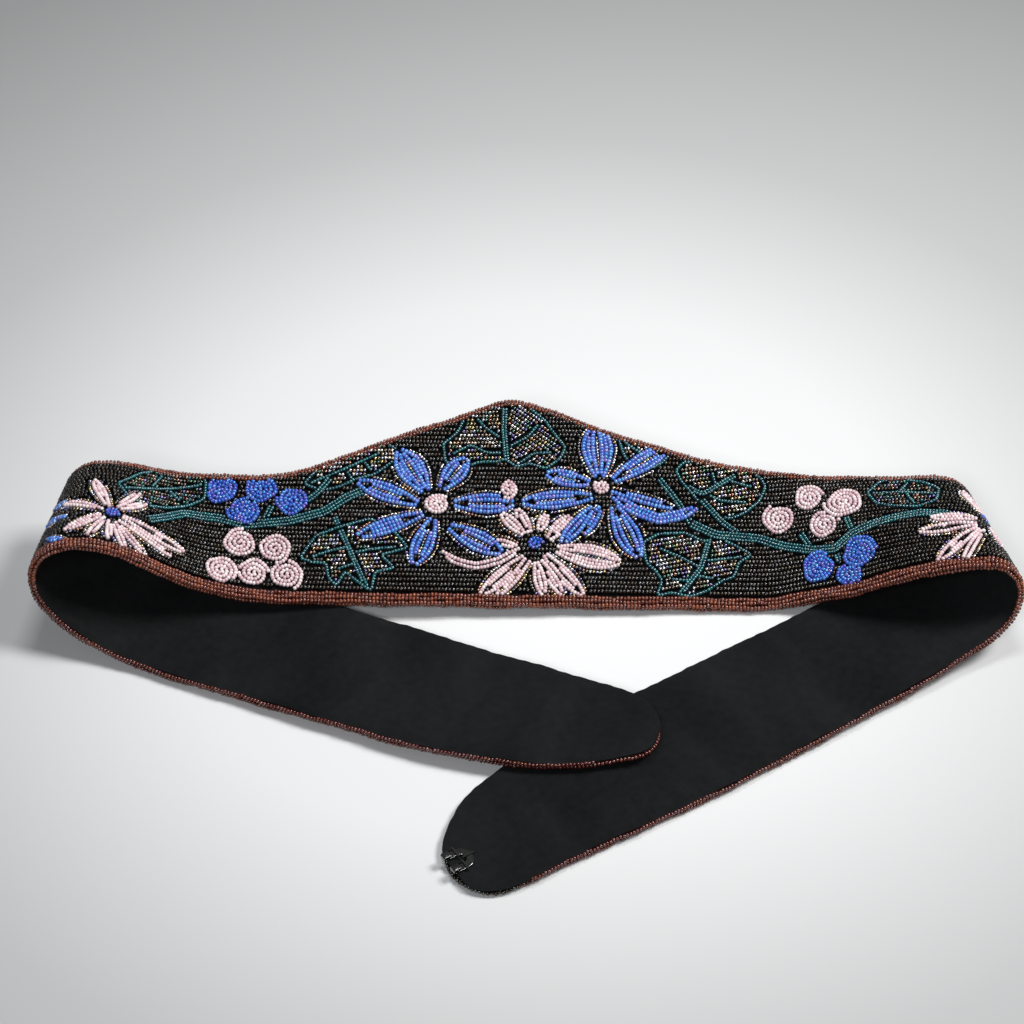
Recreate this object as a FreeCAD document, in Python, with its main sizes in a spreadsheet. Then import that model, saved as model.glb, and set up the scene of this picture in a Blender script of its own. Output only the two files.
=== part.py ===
import FreeCAD, Part
import Sketcher
import math
import os

# Beaded headband, laid out with both ends rolled under.
# The band is drawn flat first: s runs along it (0 at the middle of the front),
# v runs across it (0 at the lower edge, band_width at the upper edge).
# It is then folded along straight ruling lines. Each layer of the band sits at its
# own height n above or below the folded surface, beads on the positive side.

V = FreeCAD.Vector
os.makedirs("parts", exist_ok=True)
doc = FreeCAD.newDocument("beaded_headband")

# ---------------------------------------------------------------- driving dimensions
sheet = doc.addObject("Spreadsheet::Sheet", "Parameters")
CELLS = [
    ("band_width", 38.2),
    ("edging_width", 3.2),
    ("layer_gap", 0.05),
    ("bead_layer", 1.4),
    ("stiffener_layer", 0.4),
    ("lining_layer", 0.4),
    ("edging_layer", 2.4),
    ("motif_layer", 0.4),
    ("bead_base", 0.05),
    ("stiffener_base", -0.4),
    ("lining_base", -0.85),
    ("edging_base", -0.95),
    ("motif_base", 1.5),
    ("hook_width", 6.4),
    ("hook_plate", 0.45),
    ("hook_slot", 2.6),
    ("hook_gap", 0.5),
    ("eye_wire", 0.7),
    ("eye_span", 8.0),
    ("stitch_wire", 0.35),
]
P = {}
for row, (name, value) in enumerate(CELLS, 1):
    sheet.set("A%d" % row, name)
    sheet.set("B%d" % row, str(value))
    sheet.setAlias("B%d" % row, name)
    P[name] = value
doc.recompute()

W = P["band_width"]
EW = P["edging_width"]
GAP = P["layer_gap"]
REST = 1.45            # height of the folded surface where the band lies beads down

# ---------------------------------------------------------------- flat outline
TOP = [(-400, 38.2), (-100, 38.2), (-72, 38.4), (-63.4, 39.1), (-59.3, 40.3), (-55, 41.7), (-50.8, 43.6),
       (-46.7, 45.5), (-42.6, 47.5), (-38.2, 49.6), (-34.1, 51.4), (-30, 53.1), (-25.5, 54.8),
       (-21.2, 56.4), (-17.1, 58.2), (-12.8, 60.3), (-8.6, 62.2), (-6, 63.1), (-3.5, 63.5), (-1, 63.2),
       (4.2, 61.6), (8.6, 60.1), (12.9, 58.3), (17.1, 56.4), (21.4, 54.5), (25.7, 52.8), (29.9, 51.4),
       (34.1, 50.1), (38.3, 48.7), (42.6, 47.3), (46.9, 46.0), (51, 44.8), (55.2, 43.8), (59.5, 43.0),
       (63.9, 42.3), (68.1, 41.8), (72.7, 41.1), (77, 40.4), (82, 39.7), (90, 38.9), (100, 38.2),
       (160, 38.2), (170, 38.0), (179, 37.3), (190, 37.4), (215, 37.4), (400, 37.4)]
BOT = [(-400, 0), (170, 0), (190, -0.5), (215, -1.0), (400, -1.0)]


def table(tab, x):
    if x <= tab[0][0]:
        return tab[0][1]
    for (a, fa), (b, fb) in zip(tab, tab[1:]):
        if x <= b:
            return fa + (fb - fa) * (x - a) / (b - a)
    return tab[-1][1]


# ---------------------------------------------------------------- fold
# curvature (per 100 mm) and ruling angle (degrees) along each half
FOLD_S = [0, 58, 72, 86, 98, 110, 122, 134, 148, 164, 190]
CURVE_R = [0, 0, -5.13, 1.62, 3.19, -0.41, 14.84, 9.52, 1.34, 0.67, 0]
CURVE_L = [0, 0, -1.22, -3.75, -0.66, 4.4, 11.4, 9.46, 2.69, 1.76, 0]
RULE_S = [10, 58, 70, 95, 120, 145, 170]
RULE_R = [0, 0, 0, -41.7, -18.8, -18.2, -36.0]
RULE_L = [0, -28.7, -28.7, -9.1, 13.3, 13.7, 12.1]
SHIFT = V(-1.437, 22.033, 0.0)       # puts the origin under the middle of the whole part


LIFT = {1: 0.28, -1: 0.38}      # keeps the underside of each roll off the table


def turn(vec, axis, radians):
    return FreeCAD.Rotation(axis, math.degrees(radians)).multVec(vec)


def sag(s):
    # the upper edge hangs a little at the rolled ends
    a = abs(s)
    w = min(max((a - 58) / 20.0, 0), 1) * min(max((190 - a) / 20.0, 0), 1)
    if s < 0:
        return 6.5 * math.exp(-((s + 116) / 22.0) ** 2) * w
    return 4.5 * math.exp(-((s - 112) / 25.0) ** 2) * w


def ride(s):
    # the lower edge of the front rides up over the edge of the tail that crosses under it
    w = min(max((s - 58) / 3.0, 0), 1) * min(max((112 - s) / 12.0, 0), 1)
    return 1.5 * math.exp(-((s - 73.5) / 6.5) ** 2) * min(max((s - 58) / 8.0, 0), 1) + 0.08 * w


def fold():
    t0 = V(1, 0, 0)
    a = math.radians(15.1)
    b0 = V(0, math.cos(a), math.sin(a))
    for axis, deg in ((V(0, 1, 0), 2.0), (V(0, 0, 1), 0.75)):
        t0 = turn(t0, axis, math.radians(deg))
        b0 = turn(b0, axis, math.radians(deg))
    start = V(0.7, 12.0, 6.47 + REST) + SHIFT
    rows = {0: (start, t0, b0, 0.0)}
    for sign, curve, rule in ((1, CURVE_R, RULE_R), (-1, CURVE_L, RULE_L)):
        t, b, c = V(t0), V(b0), V(start)
        kt = list(zip(FOLD_S, curve))
        rt = list(zip(RULE_S, rule))
        for i in range(190):
            mid = i + 0.5
            k = table(kt, mid) / 100.0
            psi = math.radians(table(rt, mid))
            r = b * math.cos(psi) + t * math.sin(psi)
            angle = k * sign
            c = c + turn(t, r, angle / 2) * sign
            t = turn(t, r, angle)
            b = turn(b, r, angle)
            up = LIFT[sign] * min(max((i - 110) / 60.0, 0), 1)
            rows[sign * (i + 1)] = (c + V(0, 0, up), t, b, math.radians(table(rt, i + 1)))
    return rows


ROWS = fold()


def ruling(s0):
    # centre point, ruling vector per millimetre of v, at a whole-millimetre station
    c, t, b, psi = ROWS[s0]
    d = (b * math.cos(psi) + t * math.sin(psi)) * (1 / math.cos(psi))
    g = sag(s0)
    up = ride(s0)
    base = c - d * (W / 2) + V(0, 0, up)
    d = d - V(0, 0, (g + up) / W)
    return base, d


def unit(vec):
    w = V(vec)
    w.normalize()
    return w


def normal(s0):
    a = max(-189, min(189, s0))
    p0, d0 = ruling(a - 1)
    p1, d1 = ruling(a + 1)
    along = (p1 + d1 * (W / 2)) - (p0 + d0 * (W / 2))
    return unit(along.cross(ruling(a)[1]))


def level(vec):
    return unit(V(vec.x, vec.y, 0))


# plane of each tail: (point at the middle of station +-190, along, across)
cR, tR, bR, _ = ROWS[190]
tR = level(tR)
bR = V(0, 0, -1).cross(tR)
cR = V(cR.x, cR.y, REST)
cL, tL, bL, _ = ROWS[-190]
tL = level(tL)
bL = V(0, 0, -1).cross(tL)
tL = unit(V(tL.x, tL.y, -0.0315))
cL = V(cL.x, cL.y, REST + 0.15)


def frame(origin, x, y):
    z = x.cross(y)
    m = FreeCAD.Matrix(x.x, y.x, z.x, origin.x, x.y, y.y, z.y, origin.y, x.z, y.z, z.z, origin.z, 0, 0, 0, 1)
    return FreeCAD.Placement(m)


c0, t0, b0, _ = ROWS[0]
FRONT = frame(c0 - b0 * (W / 2), t0, b0)                      # sketch x = s, y = v
TAIL_R = frame(cR - tR * 190 - bR * (W / 2), tR, bR)
TAIL_L = frame(cL + tL * 190 - bL * (W / 2), tL, bL)


def lerp_rule(s, v):
    # the ruling that passes through flat point (s, v)
    best, err = 0, 1e9
    for s0 in range(-190, 191):
        psi = ROWS[s0][3]
        e = abs(s0 + (v - W / 2) * math.tan(psi) - s)
        if e < err:
            best, err = s0, e
    return best


def on_band(s, v):
    s0 = lerp_rule(s, v)
    lo, hi = max(-190, s0 - 1), min(190, s0 + 1)

    def at(k):
        base, d = ruling(k)
        return base + d * v, k + (v - W / 2) * math.tan(ROWS[k][3])
    (p1, f1), (p2, f2) = at(lo), at(hi)
    w = 0.5 if abs(f2 - f1) < 1e-9 else (s - f1) / (f2 - f1)
    w = max(0.0, min(1.0, w))
    return p1 + (p2 - p1) * w, normal(s0)


# ---------------------------------------------------------------- builders
EXPORT = []


def role(body, name):
    for f in body.Origin.OriginFeatures:
        if f.Role == name:
            return f


def new_body(label, placement=None):
    body = doc.addObject("PartDesign::Body", label)
    body.Label = label
    if placement is not None:
        body.Placement = placement
    EXPORT.append(body)
    return body


def rect_sketch(body, name, placement, x0, width, width_rule, y0, height_alias):
    sk = body.newObject("Sketcher::SketchObject", name)
    sk.Placement = placement
    h = P[height_alias]
    c = [V(x0, y0, 0), V(x0 + width, y0, 0), V(x0 + width, y0 + h, 0), V(x0, y0 + h, 0)]
    sk.addGeometry([Part.LineSegment(c[i], c[(i + 1) % 4]) for i in range(4)], False)
    for i in range(4):
        sk.addConstraint(Sketcher.Constraint("Coincident", i, 2, (i + 1) % 4, 1))
    for i, kind in enumerate(("Horizontal", "Vertical", "Horizontal", "Vertical")):
        sk.addConstraint(Sketcher.Constraint(kind, i))
    sk.addConstraint(Sketcher.Constraint("DistanceX", -1, 1, 0, 1, x0))
    sk.addConstraint(Sketcher.Constraint("DistanceY", -1, 1, 0, 1, y0))
    k = sk.addConstraint(Sketcher.Constraint("DistanceX", 0, 1, 0, 2, width))
    sk.renameConstraint(k, "Across")
    sk.setExpression("Constraints.Across", width_rule)
    k = sk.addConstraint(Sketcher.Constraint("DistanceY", 1, 1, 1, 2, h))
    sk.renameConstraint(k, "Thick")
    sk.setExpression("Constraints.Thick", "Parameters." + height_alias)
    return sk


def stations(lo, hi):
    # closer together where the fold is tight
    out = [lo]
    sign = 1 if hi > lo else -1
    acc = 0.0
    last = lo
    k = lo
    while k != hi:
        k += sign
        kt = list(zip(FOLD_S, CURVE_R if k > 0 else CURVE_L))
        rt = list(zip(RULE_S, RULE_R if k > 0 else RULE_L))
        acc += abs(table(kt, abs(k))) / 100.0 + abs(math.radians(table(rt, abs(k)) - table(rt, abs(k) - 1))) * 0.4
        if (acc >= math.radians(11) or abs(k - last) >= (5 if 58 < k < 90 else 9)) and abs(hi - k) > 1:
            out.append(k)
            acc = 0.0
            last = k
    out.append(hi)
    return out


SPAN = {
    # strip: (lower limit, upper limit) measured from the two edges of the band
    "work": (lambda vb, vt: (vb + EW + GAP, vt - EW - GAP)),
    "low": (lambda vb, vt: (vb, vb + EW)),
    "high": (lambda vb, vt: (vt - EW, vt)),
    "full": (lambda vb, vt: (vb, vt)),
}
RULEX = {
    "work": "(Parameters.band_width - 2 * Parameters.edging_width - 2 * Parameters.layer_gap + %.5f) * %.6f",
    "low": "(Parameters.edging_width + %.5f) * %.6f",
    "high": "(Parameters.edging_width + %.5f) * %.6f",
    "full": "(Parameters.band_width + %.5f) * %.6f",
}


def section(body, i, s0, strip, base_alias, thick_alias, plane=None):
    if plane is None:
        base, d = ruling(s0)
        n = normal(s0)
        psi = ROWS[s0][3]
    else:
        # a square cut across one of the tails
        pl, sc = plane
        base = pl.multVec(V(sc, 0, 0))
        d = pl.Rotation.multVec(V(0, 1, 0))
        n = pl.Rotation.multVec(V(0, 0, 1))
        psi = 0.0
        s0 = sc
    # find the band's two edges on this ruling
    vt, vb = W, 0.0
    for _ in range(12):
        vt = table(TOP, s0 + (vt - W / 2) * math.tan(psi))
        vb = table(BOT, s0 + (vb - W / 2) * math.tan(psi))
    va, vc = SPAN[strip](vb, vt)
    x = unit(d)
    n = unit(n - x * n.dot(x))
    scale = d.Length
    pl = frame(base, x, n)
    nominal = {"work": W - 2 * EW - 2 * GAP, "low": EW, "high": EW, "full": W}[strip]
    rule = RULEX[strip] % (vc - va - nominal, scale)
    return rect_sketch(body, "%s_cut_%02d" % (body.Label, i), pl, va * scale, (vc - va) * scale, rule,
                       P[base_alias], thick_alias)


def loft(label, cuts, strip, base_alias, thick_alias, plane=None, export=True):
    body = new_body(label)
    if not export:
        EXPORT.remove(body)
    sks = [section(body, i, s0, strip, base_alias, thick_alias) for i, s0 in enumerate(cuts)]
    if plane is not None:
        sks.append(section(body, len(cuts), None, strip, base_alias, thick_alias, plane))
    lf = body.newObject("PartDesign::AdditiveLoft", label + "_loft")
    lf.Profile = sks[0]
    lf.Sections = sks[1:]
    lf.Ruled = True
    lf.Closed = False
    for sk in sks:
        sk.Visibility = False
    return body


def curve(pts):
    bs = Part.BSplineCurve()
    bs.interpolate([V(x, y, 0) for x, y in pts])
    return bs


def plate(label, placement, chain, base_alias, thick_alias):
    # chain: list of ("line"|"curve", points); each piece starts where the last one ended
    body = new_body(label, placement)
    sk = body.newObject("Sketcher::SketchObject", label + "_outline")
    sk.AttachmentSupport = [(role(body, "XY_Plane"), "")]
    sk.MapMode = "FlatFace"
    sk.AttachmentOffset = FreeCAD.Placement(V(0, 0, P[base_alias]), FreeCAD.Rotation())
    sk.setExpression("AttachmentOffset.Base.z", "Parameters." + base_alias)
    geo = []
    for kind, pts in chain:
        if kind == "curve":
            geo.append(curve(pts))
        else:
            for p, q in zip(pts, pts[1:]):
                geo.append(Part.LineSegment(V(p[0], p[1], 0), V(q[0], q[1], 0)))
    sk.addGeometry(geo, False)
    for i in range(len(geo)):
        sk.addConstraint(Sketcher.Constraint("Coincident", i, 2, (i + 1) % len(geo), 1))
    pad = body.newObject("PartDesign::Pad", label + "_pad")
    pad.Profile = sk
    pad.Length = P[thick_alias]
    pad.setExpression("Length", "Parameters." + thick_alias)
    sk.Visibility = False
    return body


LAYERS = [("beadwork", "work", "bead_base", "bead_layer"), ("stiffener", "work", "stiffener_base", "stiffener_layer"),
          ("lining", "work", "lining_base", "lining_layer"), ("edging_low", "low", "edging_base", "edging_layer"),
          ("edging_high", "high", "edging_base", "edging_layer")]

# ---------------------------------------------------------------- rolled ends
# the beadwork of each rolled end is stitched in panels: flank, the roll itself, then the run under the front
LEFT_PANELS = [("flank", -58, -110), ("roll_upper", -110, -122), ("roll_outer", -122, -133), ("roll_lower", -133, -148), ("run", -148, -190)]
RIGHT_PANELS = [("flank", 58, 110), ("roll_upper", 110, 121), ("roll_outer", 121, 131), ("roll_lower", 131, 148), ("run", 148, 190)]


def cuts_of(panels):
    out = [panels[0][1]]
    for _, a, b in panels:
        out += stations(a, b)[1:]
    return out


LEFT_CUTS = cuts_of(LEFT_PANELS)
RIGHT_CUTS = cuts_of(RIGHT_PANELS)
LEFT_HINGE = -235.0
RIGHT_BREAK = 215.0
for nm, strip, base, thick in LAYERS:
    for side, cuts, panels, end in (("left_turn_", LEFT_CUTS, LEFT_PANELS, (TAIL_L, LEFT_HINGE + 0.05)),
                                    ("right_turn_", RIGHT_CUTS, RIGHT_PANELS, (TAIL_R, RIGHT_BREAK))):
        if nm != "beadwork":
            loft(side + nm, cuts, strip, base, thick, end)
            continue
        for panel, a, b in panels:
            part = [k for k in cuts if min(a, b) <= k <= max(a, b)]
            loft(side + nm + "_" + panel, part, strip, base, thick, end if panel == "run" else None)

# ---------------------------------------------------------------- front
CUT_TAN = math.tan(math.radians(-28.7))


def left_cut(v):
    return -58 + (v - W / 2) * CUT_TAN + 0.03


def front_top(inset):
    s = -64.0
    for _ in range(60):
        s = left_cut(table(TOP, s) - inset)
    pts = [(s, table(TOP, s) - inset)]
    pts += [(a, f - inset) for a, f in TOP if s + 2 < a < 57.97 - 2]
    pts.append((57.97, table(TOP, 57.97) - inset))
    return pts


for nm, base, thick in (("beadwork", "bead_base", "bead_layer"), ("stiffener", "stiffener_base", "stiffener_layer"),
                        ("lining", "lining_base", "lining_layer")):
    v0 = EW + GAP
    top = front_top(EW + GAP)
    plate("front_" + nm, FRONT, [("line", [(left_cut(v0), v0), (57.97, v0), top[-1]]), ("curve", top[::-1]),
                                 ("line", [top[0], (left_cut(v0), v0)])], base, thick)
plate("front_edging_low", FRONT, [("line", [(left_cut(0), 0), (57.97, 0), (57.97, EW), (left_cut(EW), EW), (left_cut(0), 0)])],
      "edging_base", "edging_layer")
inner, outer = front_top(EW), front_top(0)
plate("front_edging_high", FRONT, [("curve", inner), ("line", [inner[-1], outer[-1]]), ("curve", outer[::-1]),
                                   ("line", [outer[0], inner[0]])], "edging_base", "edging_layer")

# ---------------------------------------------------------------- right tail and hook end
R_HINGE = 281.0
R_EDGE_T = [(215, 37.4), (230, 37.3), (245, 37.2), (257, 36.9), (267, 35.9), (275, 34.8), (281, 33.6)]
R_EDGE_B = [(215, -1.0), (230, -1.1), (245, -0.9), (260, -0.3), (270, 0.2), (281, 0.5)]


def shifted(pts, inset):
    return [(a, f + inset) for a, f in pts]


def clip(pts, a, b):
    ends = [(a, table(pts, a))] + [q for q in pts if a + 1 < q[0] < b - 1] + [(b, table(pts, b))]
    return ends


rt_T = clip(R_EDGE_T, 215.03, 280.95)
rt_B = clip(R_EDGE_B, 215.03, 280.95)
for nm, base, thick in (("beadwork", "bead_base", "bead_layer"), ("stiffener", "stiffener_base", "stiffener_layer"),
                        ("lining", "lining_base", "lining_layer")):
    lo, hi = shifted(rt_B, EW + GAP), shifted(rt_T, -EW - GAP)
    plate("right_tail_" + nm, TAIL_R, [("curve", lo), ("line", [lo[-1], hi[-1]]), ("curve", hi[::-1]), ("line", [hi[0], lo[0]])],
          base, thick)
for nm, a, b in (("low", rt_B, shifted(rt_B, EW)), ("high", shifted(rt_T, -EW), rt_T)):
    plate("right_tail_edging_" + nm, TAIL_R, [("curve", a), ("line", [a[-1], b[-1]]), ("curve", b[::-1]), ("line", [b[0], a[0]])],
          "edging_base", "edging_layer")

TIP_R = [(281.05, 33.6), (284.5, 32.7), (288, 31.5), (291.2, 29.9), (294, 28.1), (296.7, 26.1), (299.2, 23.9), (301.5, 21.3),
         (303.2, 18.4), (304.2, 15.3), (304.4, 12.0), (303.8, 8.6), (302.3, 5.6), (299.8, 3.2), (296.4, 1.6), (292, 0.7),
         (286.5, 0.45), (281.05, 0.5)]
TIP_L = [(-235.05, 38.0), (-245, 37.6), (-255, 37.2), (-265, 37.0), (-275, 36.9), (-285, 36.9), (-291, 36.8), (-295.5, 36.3),
         (-299, 34.9), (-302, 32.5), (-304.4, 29.4), (-305.9, 26.0), (-306.3, 22.8), (-305.2, 19.6), (-302.8, 16.9),
         (-299.3, 14.3), (-295.2, 11.5), (-291, 9.0), (-286, 6.8), (-277, 4.0), (-262, 1.4), (-247, 0.1), (-235.05, 0.0)]


def inward(pts, e):
    # the same edge line, e further into the band; the two ends stay on the hinge cut
    out = []
    for i, (x, y) in enumerate(pts):
        x0, y0 = pts[max(i - 1, 0)]
        x1, y1 = pts[min(i + 1, len(pts) - 1)]
        dx, dy = x1 - x0, y1 - y0
        ln = math.hypot(dx, dy)
        nx, ny = dy / ln, -dx / ln
        if i in (0, len(pts) - 1):
            nx, ny = 0.0, (1.0 if y < W / 2 else -1.0)
            out.append((x, y + ny * e))
            continue
        cx = sum(q[0] for q in pts) / len(pts)
        if nx * (cx - x) + ny * (W / 2 - y) < 0:
            nx, ny = -nx, -ny
        out.append((x + nx * e, y + ny * e))
    return out


def tip(prefix, placement, pts):
    for nm, base, thick in (("beadwork", "bead_base", "bead_layer"), ("stiffener", "stiffener_base", "stiffener_layer"),
                            ("lining", "lining_base", "lining_layer")):
        inn = inward(pts, EW + GAP)
        plate(prefix + "_" + nm, placement, [("curve", inn), ("line", [inn[-1], inn[0]])], base, thick)
    inn = inward(pts, EW)
    plate(prefix + "_edging", placement, [("curve", pts), ("line", [pts[-1], inn[-1]]), ("curve", inn[::-1]),
                                          ("line", [inn[0], pts[0]])], "edging_base", "edging_layer")


tip("hook_end", TAIL_R, TIP_R)
tip("left_tail", TAIL_L, TIP_L)

# ---------------------------------------------------------------- hook, on the lining side of the right tip
hook_at = TAIL_R.multVec(V(300.2, 14.6, -0.97))
HOOK = frame(hook_at, tR, V(0, 0, 1).cross(tR))          # x to the tip, z up
hook = new_body("closure_hook", HOOK)
hw, hp, hs, hg = P["hook_width"], P["hook_plate"], P["hook_slot"], P["hook_gap"]
sk = hook.newObject("Sketcher::SketchObject", "hook_plate_outline")
sk.AttachmentSupport = [(role(hook, "XY_Plane"), "")]
sk.MapMode = "FlatFace"
NOSE = 3.4
A = Part.ArcOfCircle(Part.Circle(V(0, 0, 0), V(0, 0, 1), hw / 2), math.pi / 2, 3 * math.pi / 2)
B = Part.ArcOfCircle(Part.Circle(V(0, 0, 0), V(0, 0, 1), hs / 2), math.pi / 2, 3 * math.pi / 2)
sk.addGeometry([A, Part.LineSegment(V(0, -hw / 2, 0), V(NOSE, -hw / 2, 0)), Part.LineSegment(V(NOSE, -hw / 2, 0), V(NOSE, -hs / 2, 0)),
                Part.LineSegment(V(NOSE, -hs / 2, 0), V(0, -hs / 2, 0)), B, Part.LineSegment(V(0, hs / 2, 0), V(NOSE, hs / 2, 0)),
                Part.LineSegment(V(NOSE, hs / 2, 0), V(NOSE, hw / 2, 0)), Part.LineSegment(V(NOSE, hw / 2, 0), V(0, hw / 2, 0))], False)
sk.addConstraint(Sketcher.Constraint("Coincident", 0, 3, -1, 1))
sk.addConstraint(Sketcher.Constraint("Coincident", 4, 3, -1, 1))
k = sk.addConstraint(Sketcher.Constraint("Radius", 0, hw / 2))
sk.renameConstraint(k, "Outer")
sk.setExpression("Constraints.Outer", "Parameters.hook_width / 2")
k = sk.addConstraint(Sketcher.Constraint("Radius", 4, hs / 2))
sk.renameConstraint(k, "Inner")
sk.setExpression("Constraints.Inner", "Parameters.hook_slot / 2")
for a, pa, b, pb in ((0, 2, 1, 1), (1, 2, 2, 1), (2, 2, 3, 1), (3, 2, 4, 2), (4, 1, 5, 1), (5, 2, 6, 1), (6, 2, 7, 1), (7, 2, 0, 1)):
    sk.addConstraint(Sketcher.Constraint("Coincident", a, pa, b, pb))
for i, kind in ((1, "Horizontal"), (3, "Horizontal"), (5, "Horizontal"), (7, "Horizontal"), (2, "Vertical"), (6, "Vertical")):
    sk.addConstraint(Sketcher.Constraint(kind, i))
sk.addConstraint(Sketcher.Constraint("DistanceX", -1, 1, 1, 2, NOSE))
sk.addConstraint(Sketcher.Constraint("DistanceX", -1, 1, 6, 2, NOSE))
pad = hook.newObject("PartDesign::Pad", "hook_plate_pad")
pad.Profile = sk
pad.Length = hp
pad.setExpression("Length", "Parameters.hook_plate")
sk.Visibility = False
# the tongue, folded back over the plate at the nose
sk = hook.newObject("Sketcher::SketchObject", "hook_tongue_profile")
sk.AttachmentSupport = [(role(hook, "XZ_Plane"), "")]
sk.MapMode = "FlatFace"
ro = (2 * hp + hg) / 2
ri = hg / 2
zc = hp + ri
sk.addGeometry([
    Part.ArcOfCircle(Part.Circle(V(NOSE - 0.2, zc, 0), V(0, 0, 1), ro), -math.pi / 2, math.pi / 2),
    Part.LineSegment(V(NOSE - 0.2, zc + ro, 0), V(1.9, zc + ro, 0)),
    Part.LineSegment(V(1.9, zc + ro, 0), V(1.9, zc + ri, 0)),
    Part.LineSegment(V(1.9, zc + ri, 0), V(NOSE - 0.2, zc + ri, 0)),
    Part.ArcOfCircle(Part.Circle(V(NOSE - 0.2, zc, 0), V(0, 0, 1), ri), -math.pi / 2, math.pi / 2),
    Part.LineSegment(V(NOSE - 0.2, zc - ri, 0), V(NOSE - 1.2, zc - ri, 0)),
    Part.LineSegment(V(NOSE - 1.2, zc - ri, 0), V(NOSE - 1.2, zc - ro, 0)),
    Part.LineSegment(V(NOSE - 1.2, zc - ro, 0), V(NOSE - 0.2, zc - ro, 0))], False)
pad = hook.newObject("PartDesign::Pad", "hook_tongue_pad")
pad.Profile = sk
pad.Length = hw
pad.Midplane = True
pad.setExpression("Length", "Parameters.hook_width")
sk.Visibility = False
doc.recompute()
before = hook.Shape.Volume
sk = hook.newObject("Sketcher::SketchObject", "hook_slot_outline")
sk.AttachmentSupport = [(role(hook, "XY_Plane"), "")]
sk.MapMode = "FlatFace"
q = [V(0.2, -hs / 2, 0), V(6, -hs / 2, 0), V(6, hs / 2, 0), V(0.2, hs / 2, 0)]
sk.addGeometry([Part.LineSegment(q[i], q[(i + 1) % 4]) for i in range(4)], False)
pk = hook.newObject("PartDesign::Pocket", "hook_slot_cut")
pk.Profile = sk
pk.Type = "ThroughAll"
pk.Midplane = True
sk.Visibility = False
doc.recompute()
if not hook.Shape.Volume < before - 0.3:
    raise RuntimeError("the hook's slot was not cut")


def staple(name, placement, span, rise, run):
    # one thread stitch: an arch over the plate
    w = P["stitch_wire"]
    outer = doc.addObject("Part::Box", name + "_outer")
    outer.Length = span + 2 * w
    outer.Width = run
    outer.Height = rise + w
    inner = doc.addObject("Part::Box", name + "_inner")
    inner.Length = span
    inner.Width = run + 1
    inner.Height = rise
    inner.Placement = FreeCAD.Placement(V(w, -0.5, 0), FreeCAD.Rotation())
    for o in (outer,):
        o.setExpression("Height", "%.3f + Parameters.stitch_wire" % rise)
    cut = doc.addObject("Part::Cut", name)
    cut.Base = outer
    cut.Tool = inner
    cut.Placement = placement
    for o in (outer, inner):
        o.Visibility = False
    return cut


def stitch_group(label, arches):
    # arches: (frame, x, y, angle, span, rise, run)
    parts = []
    for i, (fr, x, y, deg, span, rise, run) in enumerate(arches):
        w = P["stitch_wire"]
        local = FreeCAD.Placement(V(x, y, 0), FreeCAD.Rotation(V(0, 0, 1), deg)).multiply(
            FreeCAD.Placement(V(-span / 2 - w, -run / 2, 0), FreeCAD.Rotation()))
        parts.append(staple("%s_%d" % (label, i), fr.multiply(local), span, rise, run))
    group = doc.addObject("Part::Compound", label)
    group.Links = parts
    group.Label = label
    for o in parts:
        o.Visibility = False
    EXPORT.append(group)
    return group


arm = (hw + hs) / 4
stitch_group("hook_stitches", [
    (HOOK, 0.2, -arm, 90, 2.5, 0.52, 0.35), (HOOK, 0.2, arm, 90, 2.5, 0.52, 0.35),
    (HOOK, -2.05, 0, 0, 2.5, 0.52, 0.35)])

# ---------------------------------------------------------------- eye bar, on the beaded face of the left tail
eye_at = TAIL_L.multVec(V(-292.0, 23.0, P["bead_base"] + P["bead_layer"] + 0.03))
EYE = frame(eye_at, bL, TAIL_L.Rotation.multVec(V(0, 0, 1)).cross(bL))
eye = new_body("closure_eye_bar", EYE)
ew, es = P["eye_wire"], P["eye_span"]
sk = eye.newObject("Sketcher::SketchObject", "eye_bar_profile")
sk.AttachmentSupport = [(role(eye, "YZ_Plane"), "")]
sk.MapMode = "FlatFace"
sk.addGeometry(Part.Circle(V(0, ew / 2, 0), V(0, 0, 1), ew / 2), False)
k = sk.addConstraint(Sketcher.Constraint("Diameter", 0, ew))
sk.renameConstraint(k, "Wire")
sk.setExpression("Constraints.Wire", "Parameters.eye_wire")
pad = eye.newObject("PartDesign::Pad", "eye_bar_pad")
pad.Profile = sk
pad.Length = es
pad.Midplane = True
pad.setExpression("Length", "Parameters.eye_span")
sk.Visibility = False
sk = eye.newObject("Sketcher::SketchObject", "eye_foot_outline")
sk.AttachmentSupport = [(role(eye, "XY_Plane"), "")]
sk.MapMode = "FlatFace"
for sx in (-1, 1):
    x0 = sx * (es / 2 - 0.55)
    g = len(sk.Geometry)
    q = [V(x0 - 0.55, -1.3, 0), V(x0 + 0.55, -1.3, 0), V(x0 + 0.55, 0.35, 0), V(x0 - 0.55, 0.35, 0)]
    sk.addGeometry([Part.LineSegment(q[i], q[(i + 1) % 4]) for i in range(4)], False)
pad = eye.newObject("PartDesign::Pad", "eye_foot_pad")
pad.Profile = sk
pad.Length = ew * 0.7
pad.setExpression("Length", "Parameters.eye_wire * 0.7")
sk.Visibility = False
doc.recompute()
stitch_group("eye_stitches", [(EYE, -(es / 2 - 0.55), -0.85, 0, 1.25, 0.55, 0.35), (EYE, es / 2 - 0.55, -0.85, 0, 1.25, 0.55, 0.35)])

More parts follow.
